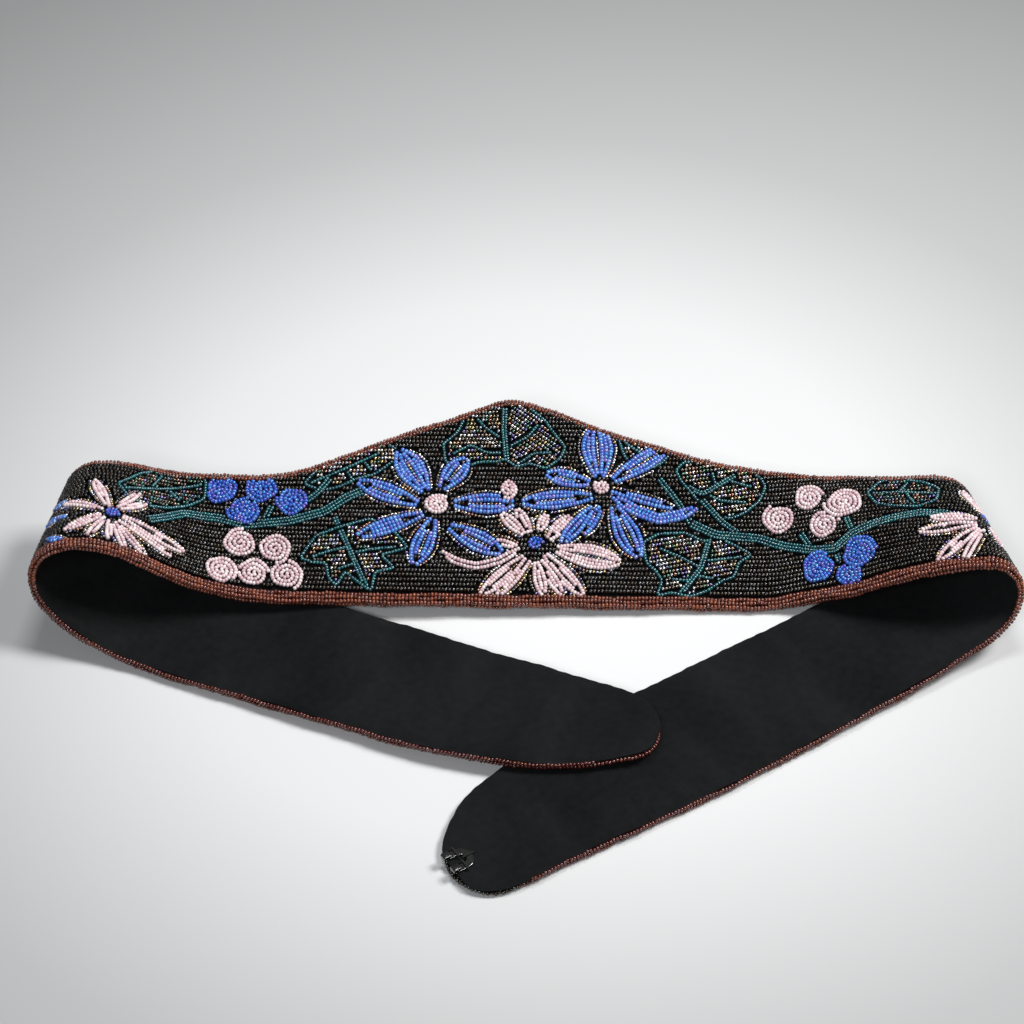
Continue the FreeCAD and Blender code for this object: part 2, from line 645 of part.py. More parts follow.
# ---------------------------------------------------------------- raised bead motifs
MOTIF = {}
MOTIF["blue_left"] = [
    ("petal", (-26.0, 33.9), (-33.2, 46.5), 8.0),
    ("petal", (-21.9, 34.9), (-15.3, 44.3), 6.7),
    ("petal", (-28.0, 30.1), (-43.9, 36.6), 5.9),
    ("petal", (-26.6, 27.1), (-43.8, 19.9), 4.8),
    ("petal", (-24.0, 25.6), (-28.8, 11.7), 6.4),
    ("petal", (-19.8, 23.3), (-6.0, 15.6), 6.7),
    ("petal", (-18.6, 30.3), (-2.8, 30.6), 6.7)]
MOTIF["blue_left_c"] = [
    ("oval", (-22.9, 30.0), 3.5, 3.0)]
MOTIF["blue_right"] = [
    ("petal", (19.9, 39.1), (19.2, 55.4), 8.8),
    ("petal", (23.5, 38.2), (38.7, 49.2), 5.9),
    ("petal", (22.9, 35.1), (39.1, 29.9), 2.7),
    ("strip", [(23.3, 33.3), (29.3, 29.0), (35.2, 26.5), (40.9, 27.8), (45.5, 30.3)], 3.2),
    ("petal", (23.6, 30.2), (29.8, 14.8), 7.5),
    ("petal", (18.0, 30.0), (9.5, 18.7), 4.3),
    ("petal", (20.1, 30.1), (15.2, 21.5), 3.2),
    ("petal", (18.0, 33.1), (-0.7, 31.0), 5.9),
    ("petal", (17.3, 37.2), (5.8, 40.0), 5.3)]
MOTIF["blue_right_c"] = [
    ("oval", (20.5, 36.3), 2.3, 2.3)]
MOTIF["pink_mid"] = [
    ("petal", (-0.2, 21.2), (-6.1, 27.5), 3.7),
    ("petal", (1.4, 21.8), (-2.0, 29.0), 3.5),
    ("petal", (6.1, 19.9), (12.1, 27.0), 4.3),
    ("petal", (3.8, 22.5), (5.7, 27.4), 3.2),
    ("petal", (-2.0, 17.5), (-7.5, 19.3), 2.7),
    ("strip", [(-1.2, 17.0), (-6.5, 13.3), (-12.7, 11.4), (-18.2, 13.0), (-21.8, 15.7)], 2.7),
    ("petal", (-0.1, 14.5), (-11.5, 3.0), 4.5),
    ("petal", (1.1, 13.5), (-7.2, 2.8), 3.2),
    ("petal", (2.9, 13.1), (4.7, 3.0), 3.7),
    ("petal", (4.0, 13.5), (9.6, 3.2), 3.2),
    ("petal", (5.2, 15.3), (15.0, 3.2), 4.5),
    ("petal", (8.1, 16.9), (24.8, 13.2), 7.5)]
MOTIF["pink_mid_c"] = [
    ("oval", (2.8, 18.5), 2.3, 2.0)]
MOTIF["bud"] = [
    ("oval", (-4.3, 35.2), 2.6, 3.1)]
MOTIF["pink_berries_left"] = [
    ("disc", (-74.1, 17.0), 4.1),
    ("disc", (-65.2, 15.8), 4.1),
    ("disc", (-79.1, 7.6), 4.1),
    ("disc", (-70.5, 8.0), 4.1),
    ("disc", (-61.9, 8.0), 4.1)]
MOTIF["blue_berries_left"] = [
    ("disc", (-79.8, 33.6), 4.2),
    ("disc", (-69.1, 34.0), 4.2),
    ("disc", (-61.0, 30.5), 4.2),
    ("disc", (-73.5, 27.4), 4.2)]
MOTIF["pink_berries_right"] = [
    ("disc", (67.2, 26.8), 4.2),
    ("disc", (76.0, 32.1), 4.1),
    ("disc", (85.8, 29.1), 4.9),
    ("disc", (79.7, 22.7), 4.2)]
MOTIF["blue_berries_right"] = [
    ("disc", (77.2, 9.8), 4.5),
    ("disc", (89.3, 11.7), 4.6),
    ("disc", (85.4, 5.8), 3.8)]
MOTIF["turn_left"] = [
    ("petal", (-112.1, 17.5), (-115.9, 29.0), 2.9),
    ("petal", (-110.0, 18.2), (-103.6, 26.5), 2.4),
    ("petal", (-109.0, 17.8), (-101.4, 23.0), 2.1),
    ("petal", (-108.4, 14.8), (-89.4, 10.2), 3.7),
    ("petal", (-109.4, 13.0), (-93.3, 7.0), 2.4),
    ("petal", (-110.2, 12.0), (-101.5, 2.9), 2.7),
    ("petal", (-110.7, 11.7), (-106.8, 1.5), 2.4),
    ("petal", (-111.7, 12.1), (-111.6, 4.3), 2.1),
    ("petal", (-112.7, 13.0), (-116.9, 4.6), 2.4),
    ("petal", (-113.6, 13.8), (-122.5, 6.9), 2.9),
    ("petal", (-113.4, 15.9), (-123.7, 20.5), 2.7)]
MOTIF["turn_left_c"] = [
    ("oval", (-111.1, 15.4), 2.0, 1.9)]
MOTIF["turn_right"] = [
    ("petal", (122.4, 25.0), (116.5, 32.8), 3.2),
    ("petal", (120.1, 19.7), (108.3, 19.9), 3.2),
    ("petal", (120.0, 17.1), (105.2, 14.5), 3.5),
    ("petal", (120.2, 15.6), (109.9, 3.0), 3.7),
    ("petal", (121.4, 15.3), (115.5, 0.0), 2.7),
    ("petal", (123.8, 19.2), (126.9, 11.6), 2.4),
    ("petal", (122.9, 26.1), (121.0, 31.6), 2.4)]
MOTIF["turn_right_c"] = [
    ("oval", (123.5, 24.0), 1.8, 1.7)]
MOTIF["stem_left"] = [
    ("strip", [(-100.4, 17.7), (-89.6, 24.2), (-80.1, 24.4), (-73.1, 22.8), (-61.4, 24.4), (-52.5, 27.3), (-46.5, 32.0), (-42.7, 33.9)], 1.6),
    ("strip", [(-61.4, 24.4), (-58.9, 29.0), (-54.3, 33.1), (-51.3, 37.5)], 1.1),
    ("strip", [(-73.1, 22.8), (-76.7, 29.0)], 0.9),
    ("strip", [(-68.6, 23.2), (-66.3, 28.8)], 0.9)]
MOTIF["stem_right"] = [
    ("strip", [(43.8, 25.4), (50.1, 22.1), (61.5, 21.2), (68.3, 18.2), (75.7, 15.5), (82.3, 14.7), (87.7, 18.3), (96.8, 20.6), (106.0, 22.5), (112.9, 21.5)], 1.6),
    ("strip", [(87.7, 18.3), (86.3, 23.7)], 0.9),
    ("strip", [(75.7, 15.5), (72.8, 21.3)], 0.9),
    ("strip", [(82.3, 14.7), (83.1, 10.5)], 0.9),
    ("strip", [(35.8, 39.1), (40.8, 31.5), (43.8, 25.4)], 1.3),
    ("strip", [(46.9, 32.8), (51.9, 26.1), (56.5, 22.3)], 1.1)]
MOTIF["leaf_peak"] = [
    ("outline", [(-20.9, 43.0), (-21.5, 48.9), (-17.8, 52.4), (-15.9, 57.0), (-11.4, 58.9), (-8.6, 61.2), (-3.8, 61.6), (1.7, 60.5), (5.7, 56.7), (8.5, 52.0), (11.1, 48.3), (9.5, 44.8), (5.8, 41.6), (1.5, 43.2), (-2.1, 42.0), (-5.1, 44.5), (-7.1, 43.5), (-11.4, 43.5), (-15.4, 41.8)])]
MOTIF["leaf_flank_left"] = [
    ("outline", [(-58.1, 35.7), (-54.5, 40.5), (-48.9, 43.0), (-43.1, 46.2), (-37.4, 48.6), (-34.1, 47.4), (-33.5, 44.3), (-36.6, 41.5), (-39.7, 38.9), (-44.5, 37.5), (-48.6, 35.0), (-53.2, 33.7)])]
MOTIF["leaf_low_left"] = [
    ("outline", [(-58.4, 13.2), (-54.6, 19.9), (-48.3, 22.8), (-40.5, 25.4), (-34.7, 22.4), (-30.4, 16.7), (-37.5, 14.5), (-33.9, 10.6), (-38.8, 9.4), (-39.8, 3.7), (-42.3, 5.5), (-46.6, 9.3), (-48.8, 5.0), (-50.9, 7.4), (-51.6, 11.9), (-55.2, 11.9)])]
MOTIF["leaf_low_right"] = [
    ("outline", [(31.6, 13.3), (31.1, 19.6), (35.1, 22.1), (41.9, 22.6), (47.0, 20.0), (50.7, 21.0), (55.2, 18.9), (59.4, 16.2), (55.9, 13.8), (54.3, 9.2), (51.8, 8.6), (47.4, 5.3), (42.8, 3.4), (38.0, 4.5), (34.1, 3.5), (35.7, 8.0), (34.1, 11.0)])]
MOTIF["leaf_up_right"] = [
    ("outline", [(40.2, 41.7), (42.5, 44.5), (46.8, 44.3), (51.5, 43.2), (56.9, 42.0), (62.6, 40.2), (64.1, 37.0), (62.2, 32.7), (58.3, 29.0), (54.0, 27.0), (50.4, 28.2), (46.3, 31.8), (44.2, 34.9), (41.8, 38.0)])]
MOTIF["leaf_far_left"] = [
    ("outline", [(-110.0, 28.4), (-103.7, 34.5), (-94.2, 38.5), (-86.7, 38.5), (-83.9, 35.8), (-84.1, 30.0), (-88.7, 26.9), (-94.8, 24.2), (-101.7, 22.5), (-106.6, 23.7)])]
MOTIF["leaf_far_right"] = [
    ("outline", [(92.1, 31.5), (95.6, 36.1), (100.9, 36.6), (106.7, 34.9), (110.9, 32.2), (110.1, 27.2), (105.4, 25.0), (99.1, 25.6), (94.4, 27.2)])]
MOTIF["leaf_curl_right"] = [
    ("outline", [(24.6, 53.8), (29.3, 50.8), (34.1, 49.4), (39.4, 47.3), (36.7, 44.1), (32.9, 41.5), (29.1, 42.0), (26.6, 46.2)])]

SLAB_L = loft("motif_layer_left", stations(-20, -58)[:-1] + [k for k in LEFT_CUTS if k > -133.5] + [-134], "full", "motif_base", "motif_layer", None, False)
SLAB_R = loft("motif_layer_right", stations(20, 58)[:-1] + [k for k in RIGHT_CUTS if k < 133.5] + [134], "full", "motif_base", "motif_layer", None, False)
SLAB_M = plate("motif_layer_front", FRONT, [("line", [(-46.5, 0.5), (57.9, 0.5), front_top(0.5)[-1]]),
                                            ("curve", [q for q in front_top(0.5)[::-1] if q[0] > -44] + [(-46.5, table(TOP, -46.5) - 0.5)]),
                                            ("line", [(-46.5, table(TOP, -46.5) - 0.5), (-46.5, 0.5)])], "motif_base", "motif_layer")
EXPORT.remove(SLAB_M)
doc.recompute()


def outline_of(item):
    kind = item[0]
    if kind == "petal":
        _, (x0, y0), (x1, y1), w = item
        dx, dy = x1 - x0, y1 - y0
        ln = math.hypot(dx, dy)
        ux, uy = dx / ln, dy / ln
        shape = [(0.0, 0.16), (0.15, 0.27), (0.35, 0.42), (0.55, 0.5), (0.75, 0.42), (0.9, 0.24), (1.0, 0.05)]
        left = [(x0 + ux * ln * f - uy * w * g, y0 + uy * ln * f + ux * w * g) for f, g in shape]
        right = [(x0 + ux * ln * f + uy * w * g, y0 + uy * ln * f - ux * w * g) for f, g in shape]
        return left + right[::-1]
    if kind == "strip":
        _, pts, w = item
        a, b = [], []
        for i, (x, y) in enumerate(pts):
            x0, y0 = pts[max(i - 1, 0)]
            x1, y1 = pts[min(i + 1, len(pts) - 1)]
            dx, dy = x1 - x0, y1 - y0
            ln = math.hypot(dx, dy)
            a.append((x - dy / ln * w / 2, y + dx / ln * w / 2))
            b.append((x + dy / ln * w / 2, y - dx / ln * w / 2))
        return a + b[::-1]
    if kind in ("oval", "disc"):
        (x, y), r = item[1], item[2]
        q = item[3] if kind == "oval" else r
        return [(x + r * math.cos(i * math.pi / 8), y + q * math.sin(i * math.pi / 8)) for i in range(16)]
    return item[1]


def motif(label, key):
    items = MOTIF[key]
    outs = [outline_of(i) for i in items]
    allp = [q for o in outs for q in o]
    smin, smax = min(q[0] for q in allp), max(q[0] for q in allp)
    slab = SLAB_M
    if smin < -45:
        slab = SLAB_L
    if smax > 57:
        slab = SLAB_R
    cs = sum(q[0] for q in allp) / len(allp)
    cv = sum(q[1] for q in allp) / len(allp)
    p, n = on_band(cs, cv)
    p2, _ = on_band(cs + 1.5, cv)
    x = p2 - p
    x = unit(x - n * x.dot(n))
    fr = frame(p, x, n.cross(x))
    inv = fr.inverse()
    solids = []
    for i, o in enumerate(outs):
        sk = doc.addObject("Sketcher::SketchObject", "%s_line_%d" % (label, i))
        pts = []
        for s, v in o:
            w, _ = on_band(s, v)
            l = inv.multVec(w)
            pts.append(V(l.x, l.y, 0))
        sk.addGeometry([Part.LineSegment(pts[k], pts[(k + 1) % len(pts)]) for k in range(len(pts))], False)
        sk.Placement = fr.multiply(FreeCAD.Placement(V(0, 0, -4.0), FreeCAD.Rotation()))
        ex = doc.addObject("Part::Extrusion", "%s_block_%d" % (label, i))
        ex.Base = sk
        ex.DirMode = "Normal"
        ex.LengthFwd = 10.0
        ex.Solid = True
        ex.setExpression("LengthFwd", "Parameters.motif_layer * 25")
        sk.Visibility = False
        ex.Visibility = False
        solids.append(ex)
    if len(solids) > 1:
        tool = doc.addObject("Part::MultiFuse", label + "_blocks")
        tool.Shapes = solids
        tool.Visibility = False
    else:
        tool = solids[0]
    com = doc.addObject("Part::MultiCommon", label + "_layer")
    com.Shapes = [slab, tool]
    com.Visibility = False
    doc.recompute()
    out = com
    bb = com.Shape.BoundBox
    near = [m for m in MADE if m.Shape.BoundBox.intersect(bb)]
    near = [m for m in near if m.Shape.distToShape(com.Shape)[0] < 0.02]
    if near:
        if len(near) > 1:
            u = doc.addObject("Part::MultiFuse", label + "_neighbours")
            u.Shapes = near
            u.Visibility = False
        else:
            u = near[0]
        out = doc.addObject("Part::Cut", label)
        out.Base = com
        out.Tool = u
        doc.recompute()
    out.Label = label
    MADE.append(out)
    EXPORT.append(out)


MADE = []
NAMES = [("blue_flower_left_centre", "blue_left_c"), ("blue_flower_right_centre", "blue_right_c"),
         ("pink_flower_heart", "pink_mid_c"), ("pink_bud", "bud"), ("blue_flower_left", "blue_left"),
         ("blue_flower_right", "blue_right"), ("pink_flower", "pink_mid"),
         ("pink_berries_left", "pink_berries_left"), ("blue_berries_left", "blue_berries_left"),
         ("pink_berries_right", "pink_berries_right"), ("blue_berries_right", "blue_berries_right"),
         ("turn_flower_left_heart", "turn_left_c"), ("turn_flower_left", "turn_left"),
         ("turn_flower_right_heart", "turn_right_c"), ("turn_flower_right", "turn_right"),
         ("stem_left", "stem_left"), ("stem_right", "stem_right"),
         ("leaf_peak", "leaf_peak"), ("leaf_flank_left", "leaf_flank_left"), ("leaf_low_left", "leaf_low_left"),
         ("leaf_low_right", "leaf_low_right"), ("leaf_up_right", "leaf_up_right"), ("leaf_far_left", "leaf_far_left"),
         ("leaf_far_right", "leaf_far_right"), ("leaf_curl_right", "leaf_curl_right")]
for label, key in NAMES:
    motif(label, key)

# ---------------------------------------------------------------- check and write
doc.recompute()
bad = [o.Name for o in doc.Objects if "Invalid" in o.State or "Error" in o.State]
if bad:
    raise RuntimeError("not computed: " + ", ".join(bad[:12]))
box = FreeCAD.BoundBox()
for o in EXPORT:
    if o.Shape.isNull() or not o.Shape.isValid() or not o.Shape.Solids:
        raise RuntimeError("bad shape: " + o.Label)
    box.add(o.Shape.BoundBox)
print("sub-parts", len(EXPORT), "box", [round(q, 3) for q in (box.XMin, box.XMax, box.YMin, box.YMax, box.ZMin, box.ZMax)])
for o in EXPORT:
    o.Shape.exportStep("parts/" + o.Label + ".step")
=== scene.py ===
import math

import bpy
import numpy as np
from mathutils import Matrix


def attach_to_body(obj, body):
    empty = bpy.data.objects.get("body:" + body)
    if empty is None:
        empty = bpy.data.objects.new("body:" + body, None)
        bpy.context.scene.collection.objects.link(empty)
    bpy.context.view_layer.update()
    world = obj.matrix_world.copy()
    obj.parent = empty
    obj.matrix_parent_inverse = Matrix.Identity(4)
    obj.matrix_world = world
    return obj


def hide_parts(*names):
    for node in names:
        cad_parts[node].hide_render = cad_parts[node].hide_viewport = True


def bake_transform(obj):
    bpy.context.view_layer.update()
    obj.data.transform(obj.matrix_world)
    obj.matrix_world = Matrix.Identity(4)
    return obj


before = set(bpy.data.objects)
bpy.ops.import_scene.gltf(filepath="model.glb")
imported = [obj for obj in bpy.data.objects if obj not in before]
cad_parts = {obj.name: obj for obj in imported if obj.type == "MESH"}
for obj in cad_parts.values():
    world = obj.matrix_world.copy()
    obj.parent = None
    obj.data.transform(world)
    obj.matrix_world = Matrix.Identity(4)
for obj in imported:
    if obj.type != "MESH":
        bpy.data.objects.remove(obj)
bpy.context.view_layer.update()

rng = np.random.default_rng(20)
scene = bpy.context.scene

# ------------------------------------------------------------------ the folded band, in millimetres
# s runs along the band (0 at the middle of the front), v across it (0 at the lower edge)
W, EW, REST = 38.2, 3.2, 1.45
TOP = [(-400, 38.2), (-100, 38.2), (-72, 38.4), (-63.4, 39.1), (-59.3, 40.3), (-55, 41.7), (-50.8, 43.6),
       (-46.7, 45.5), (-42.6, 47.5), (-38.2, 49.6), (-34.1, 51.4), (-30, 53.1), (-25.5, 54.8),
       (-21.2, 56.4), (-17.1, 58.2), (-12.8, 60.3), (-8.6, 62.2), (-6, 63.1), (-3.5, 63.5), (-1, 63.2),
       (4.2, 61.6), (8.6, 60.1), (12.9, 58.3), (17.1, 56.4), (21.4, 54.5), (25.7, 52.8), (29.9, 51.4),
       (34.1, 50.1), (38.3, 48.7), (42.6, 47.3), (46.9, 46.0), (51, 44.8), (55.2, 43.8), (59.5, 43.0),
       (63.9, 42.3), (68.1, 41.8), (72.7, 41.1), (77, 40.4), (82, 39.7), (90, 38.9), (100, 38.2),
       (160, 38.2), (170, 38.0), (179, 37.3), (190, 37.4), (215, 37.4), (400, 37.4)]
BOT = [(-400, 0), (170, 0), (190, -0.5), (215, -1.0), (400, -1.0)]
R_EDGE_T = [(215, 37.4), (230, 37.3), (245, 37.2), (257, 36.9), (267, 35.9), (275, 34.8), (281, 33.6)]
R_EDGE_B = [(215, -1.0), (230, -1.1), (245, -0.9), (260, -0.3), (270, 0.2), (281, 0.5)]
TIP_R = [(281.05, 33.6), (284.5, 32.7), (288, 31.5), (291.2, 29.9), (294, 28.1), (296.7, 26.1), (299.2, 23.9), (301.5, 21.3),
         (303.2, 18.4), (304.2, 15.3), (304.4, 12.0), (303.8, 8.6), (302.3, 5.6), (299.8, 3.2), (296.4, 1.6), (292, 0.7),
         (286.5, 0.45), (281.05, 0.5)]
TIP_L = [(-235.05, 38.0), (-245, 37.6), (-255, 37.2), (-265, 37.0), (-275, 36.9), (-285, 36.9), (-291, 36.8), (-295.5, 36.3),
         (-299, 34.9), (-302, 32.5), (-304.4, 29.4), (-305.9, 26.0), (-306.3, 22.8), (-305.2, 19.6), (-302.8, 16.9),
         (-299.3, 14.3), (-295.2, 11.5), (-291, 9.0), (-286, 6.8), (-277, 4.0), (-262, 1.4), (-247, 0.1), (-235.05, 0.0)]
FOLD_S = [0, 58, 72, 86, 98, 110, 122, 134, 148, 164, 190]
CURVE_R = [0, 0, -5.13, 1.62, 3.19, -0.41, 14.84, 9.52, 1.34, 0.67, 0]
CURVE_L = [0, 0, -1.22, -3.75, -0.66, 4.4, 11.4, 9.46, 2.69, 1.76, 0]
RULE_S = [10, 58, 70, 95, 120, 145, 170]
RULE_R = [0, 0, 0, -41.7, -18.8, -18.2, -36.0]
RULE_L = [0, -28.7, -28.7, -9.1, 13.3, 13.7, 12.1]
SHIFT = np.array([-1.437, 22.033, 0.0])
LEFT_HINGE, RIGHT_HINGE = -235.0, 281.0


def arr(*x):
    return np.array(x, float)


def unit(v):
    return v / np.linalg.norm(v, axis=-1, keepdims=True)


def spin(v, ax, a):
    ax = unit(ax)
    return v * math.cos(a) + np.cross(ax, v) * math.sin(a) + ax * np.dot(ax, v) * (1 - math.cos(a))


def tab(table, x):
    t = np.array(table, float)
    return np.interp(x, t[:, 0], t[:, 1])


def sag(s):
    a = abs(s)
    w = min(max((a - 58) / 20.0, 0), 1) * min(max((190 - a) / 20.0, 0), 1)
    if s < 0:
        return 6.5 * math.exp(-((s + 116) / 22.0) ** 2) * w
    return 4.5 * math.exp(-((s - 112) / 25.0) ** 2) * w


def ride(s):
    # the lower edge of the front rides up over the edge of the tail that crosses under it
    w = min(max((s - 58) / 3.0, 0), 1) * min(max((112 - s) / 12.0, 0), 1)
    return 1.5 * math.exp(-((s - 73.5) / 6.5) ** 2) * min(max((s - 58) / 8.0, 0), 1) + 0.08 * w


def fold():
    t0 = arr(1, 0, 0)
    a = math.radians(15.1)
    b0 = arr(0, math.cos(a), math.sin(a))
    for axis, deg in ((arr(0, 1, 0), 2.0), (arr(0, 0, 1), 0.75)):
        t0 = spin(t0, axis, math.radians(deg))
        b0 = spin(b0, axis, math.radians(deg))
    start = arr(0.7, 12.0, 6.47 + REST) + SHIFT
    rows = {0: (start, t0, b0, 0.0)}
    for sign, curve, rule, lift in ((1, CURVE_R, RULE_R, 0.28), (-1, CURVE_L, RULE_L, 0.38)):
        t, b, c = t0.copy(), b0.copy(), start.copy()
        for i in range(190):
            k = np.interp(i + 0.5, FOLD_S, curve) / 100.0
            psi = math.radians(np.interp(i + 0.5, RULE_S, rule))
            r = b * math.cos(psi) + t * math.sin(psi)
            angle = k * sign
            c = c + spin(t, r, angle / 2) * sign
            t = spin(t, r, angle)
            b = spin(b, r, angle)
            up = lift * min(max((i - 110) / 60.0, 0), 1)
            rows[sign * (i + 1)] = (c + arr(0, 0, up), t, b, math.radians(np.interp(i + 1, RULE_S, rule)))
    return rows


ROWS = fold()


def level(v):
    return unit(arr(v[0], v[1], 0))


cR, tR, bR, _ = ROWS[190]
tR = level(tR)
bR = np.cross(arr(0, 0, -1), tR)
cR = arr(cR[0], cR[1], REST)
cL, tL, bL, _ = ROWS[-190]
tL = level(tL)
bL = np.cross(arr(0, 0, -1), tL)
tL = unit(arr(tL[0], tL[1], -0.0315))
cL = arr(cL[0], cL[1], REST + 0.15)
ORIGIN_R = cR - tR * 190 - bR * (W / 2)
ORIGIN_L = cL + tL * 190 - bL * (W / 2)


def stations():
    S, B, D, T = [], [], [], []
    for s in (-330.0, -235.0):
        S.append(s), B.append(ORIGIN_L + tL * s), D.append(bL), T.append(0.0)
    for k in range(-190, 191):
        c, t, b, psi = ROWS[k]
        d = (b * math.cos(psi) + t * math.sin(psi)) / math.cos(psi)
        base = c - d * (W / 2) + arr(0, 0, ride(k))
        d = d - arr(0, 0, (sag(k) + ride(k)) / W)
        S.append(float(k)), B.append(base), D.append(d), T.append(math.tan(psi))
    for s in (215.0, 330.0):
        S.append(s), B.append(ORIGIN_R + tR * s), D.append(bR), T.append(0.0)
    S, B, D, T = np.array(S), np.array(B), np.array(D), np.array(T)
    mid = B + D * (W / 2)
    N = np.zeros_like(B)
    for i in range(2, len(S) - 2):
        a = min(max(i, 3), len(S) - 4)
        N[i] = np.cross(mid[a + 1] - mid[a - 1], D[i])
    N[:2] = np.cross(tL, bL)
    N[-2:] = np.cross(tR, bR)
    return S, B, D, T, unit(N)


ST_S, ST_B, ST_D, ST_T, ST_N = stations()


def ruling_of(s, v):
    lo = np.full(s.shape, -330.0)
    hi = np.full(s.shape, 330.0)
    for _ in range(44):
        m = (lo + hi) / 2
        f = m + (v - W / 2) * np.interp(m, ST_S, ST_T) - s
        lo = np.where(f < 0, m, lo)
        hi = np.where(f < 0, hi, m)
    return (lo + hi) / 2


def col(m, table):
    return np.stack([np.interp(m, ST_S, table[:, k]) for k in range(3)], axis=-1)


def surf_raw(s, v, n=0.0):
    s, v = np.asarray(s, float), np.asarray(v, float)
    m = ruling_of(s, v)
    N = unit(col(m, ST_N))
    return col(m, ST_B) + col(m, ST_D) * v[..., None] + N * np.broadcast_to(np.asarray(n, float), s.shape)[..., None], N


def surf(s, v, n=0.0):
    # the folding lines crowd together at the upper edge where the right roll begins: the cloth eases round there
    s, v = (np.array(a, float) for a in np.broadcast_arrays(s, v))
    n = np.broadcast_to(np.asarray(n, float), s.shape)
    P, N = surf_raw(s, v, n)
    w = np.asarray(np.exp(-((s - 76.5) / 7.0) ** 2) * np.clip((v - 29) / 7, 0, 1))
    i = w > 0.02
    if np.any(i):
        both = [surf_raw(s[i] + d, v[i], n[i]) for d in np.arange(-7.5, 7.6, 1.5)]
        k = w[i][:, None]
        P[i] += k * (sum(a for a, _ in both) / len(both) - P[i])
        N[i] += k * (unit(sum(b for _, b in both)) - N[i])
        N[i] = unit(N[i])
    return P, N


# ------------------------------------------------------------------ flat outline
def make_outline():
    p = [(s, tab(BOT, s)) for s in range(-233, 214, 2)] + R_EDGE_B[:-1] + TIP_R[::-1][1:-1]
    p += R_EDGE_T[::-1][1:] + [(s, tab(TOP, s)) for s in range(212, -234, -2)] + TIP_L[1:-1]
    p = np.array(p, float)
    p = resample(np.vstack([p, p[:1]]), 0.5)[:-1]
    for _ in range(3):
        p = (np.roll(p, 2, 0) + np.roll(p, 1, 0) + p + np.roll(p, -1, 0) + np.roll(p, -2, 0)) / 5
    return p


def resample(p, step):
    p = np.asarray(p, float)
    d = np.r_[0, np.cumsum(np.linalg.norm(np.diff(p, axis=0), axis=1))]
    n = max(int(round(d[-1] / step)), 1)
    x = np.linspace(0, d[-1], n + 1)
    return np.stack([np.interp(x, d, p[:, 0]), np.interp(x, d, p[:, 1])], axis=1)


OUT = make_outline()
_t = np.roll(OUT, -1, 0) - np.roll(OUT, 1, 0)
_t = unit(_t)
OUT_IN = np.stack([-_t[:, 1], _t[:, 0]], axis=1)      # inward


HIGH_LESS = 1.05       # the string of edging beads that the upper edge does without


def near_line(p, line):
    best = np.full(len(p), 1e9)
    for i in range(0, len(line), 300):
        q = line[i:i + 300]
        d = ((p[:, None, :] - q[None]) ** 2).sum(-1).min(1)
        best = np.minimum(best, d)
    return np.sqrt(best)


def clear_of_edge(p, edge):
    return (near_line(p, OUT[OUT[:, 1] <= W / 2]) > edge) & (near_line(p, OUT[OUT[:, 1] > W / 2]) > edge - HIGH_LESS)


def inside(poly, p):
    poly = np.asarray(poly, float)
    x, y = p[:, 0], p[:, 1]
    hit = np.zeros(len(p), bool)
    for (x0, y0), (x1, y1) in zip(poly, np.roll(poly, -1, 0)):
        c = (y0 > y) != (y1 > y)
        xi = x0 + (y - y0) * (x1 - x0) / (y1 - y0 if abs(y1 - y0) > 1e-12 else 1e-12)
        hit ^= c & (x < xi)
    return hit


MOTIF = {}
MOTIF['blue_left'] = [
    ('p', (-26, 33.9), (-33.2, 46.5), 8, 2),
    ('p', (-21.9, 34.9), (-15.3, 44.3), 6.7, 2),
    ('p', (-28, 30.1), (-43.9, 36.6), 5.9, 2),
    ('p', (-26.6, 27.1), (-43.8, 19.9), 4.8, 1),
    ('p', (-24, 25.6), (-28.8, 11.7), 6.4, 2),
    ('p', (-19.8, 23.3), (-6, 15.6), 6.7, 2),
    ('p', (-18.6, 30.3), (-2.8, 30.6), 6.7, 2),
]
MOTIF['blue_left_c'] = [
    ('d', (-22.9, 30), 3.5, 3),
]
MOTIF['blue_right'] = [
    ('p', (19.9, 39.1), (19.2, 55.4), 8.8, 2),
    ('p', (23.5, 38.2), (38.7, 49.2), 5.9, 2),
    ('p', (22.9, 35.1), (39.1, 29.9), 2.7, 1),
    ('c', [(23.3, 33.3), (29.3, 29), (35.2, 26.5), (40.9, 27.8), (45.5, 30.3)], 3.2),
    ('p', (23.6, 30.2), (29.8, 14.8), 7.5, 2),
    ('p', (18, 30), (9.5, 18.7), 4.3, 1),
    ('p', (20.1, 30.1), (15.2, 21.5), 3.2, 1),
    ('p', (18, 33.1), (-0.7, 31), 5.9, 2),
    ('p', (17.3, 37.2), (5.8, 40), 5.3, 2),
]
MOTIF['blue_right_c'] = [
    ('d', (20.5, 36.3), 2.3, 2.3),
]
MOTIF['pink_mid'] = [
    ('p', (-0.2, 21.2), (-6.1, 27.5), 3.7, 1),
    ('p', (1.4, 21.8), (-2, 29), 3.5, 1),
    ('p', (6.1, 19.9), (12.1, 27), 4.3, 1),
    ('p', (3.8, 22.5), (5.7, 27.4), 3.2, 1),
    ('p', (-2, 17.5), (-7.5, 19.3), 2.7, 1),
    ('c', [(-1.2, 17), (-6.5, 13.3), (-12.7, 11.4), (-18.2, 13), (-21.8, 15.7)], 2.7),
    ('p', (-0.1, 14.5), (-11.5, 3), 4.5, 2),
    ('p', (1.1, 13.5), (-7.2, 2.8), 3.2, 1),
    ('p', (2.9, 13.1), (4.7, 3), 3.7, 1),
    ('p', (4, 13.5), (9.6, 3.2), 3.2, 1),
    ('p', (5.2, 15.3), (15, 3.2), 4.5, 2),
    ('p', (8.1, 16.9), (24.8, 13.2), 7.5, 2),
]
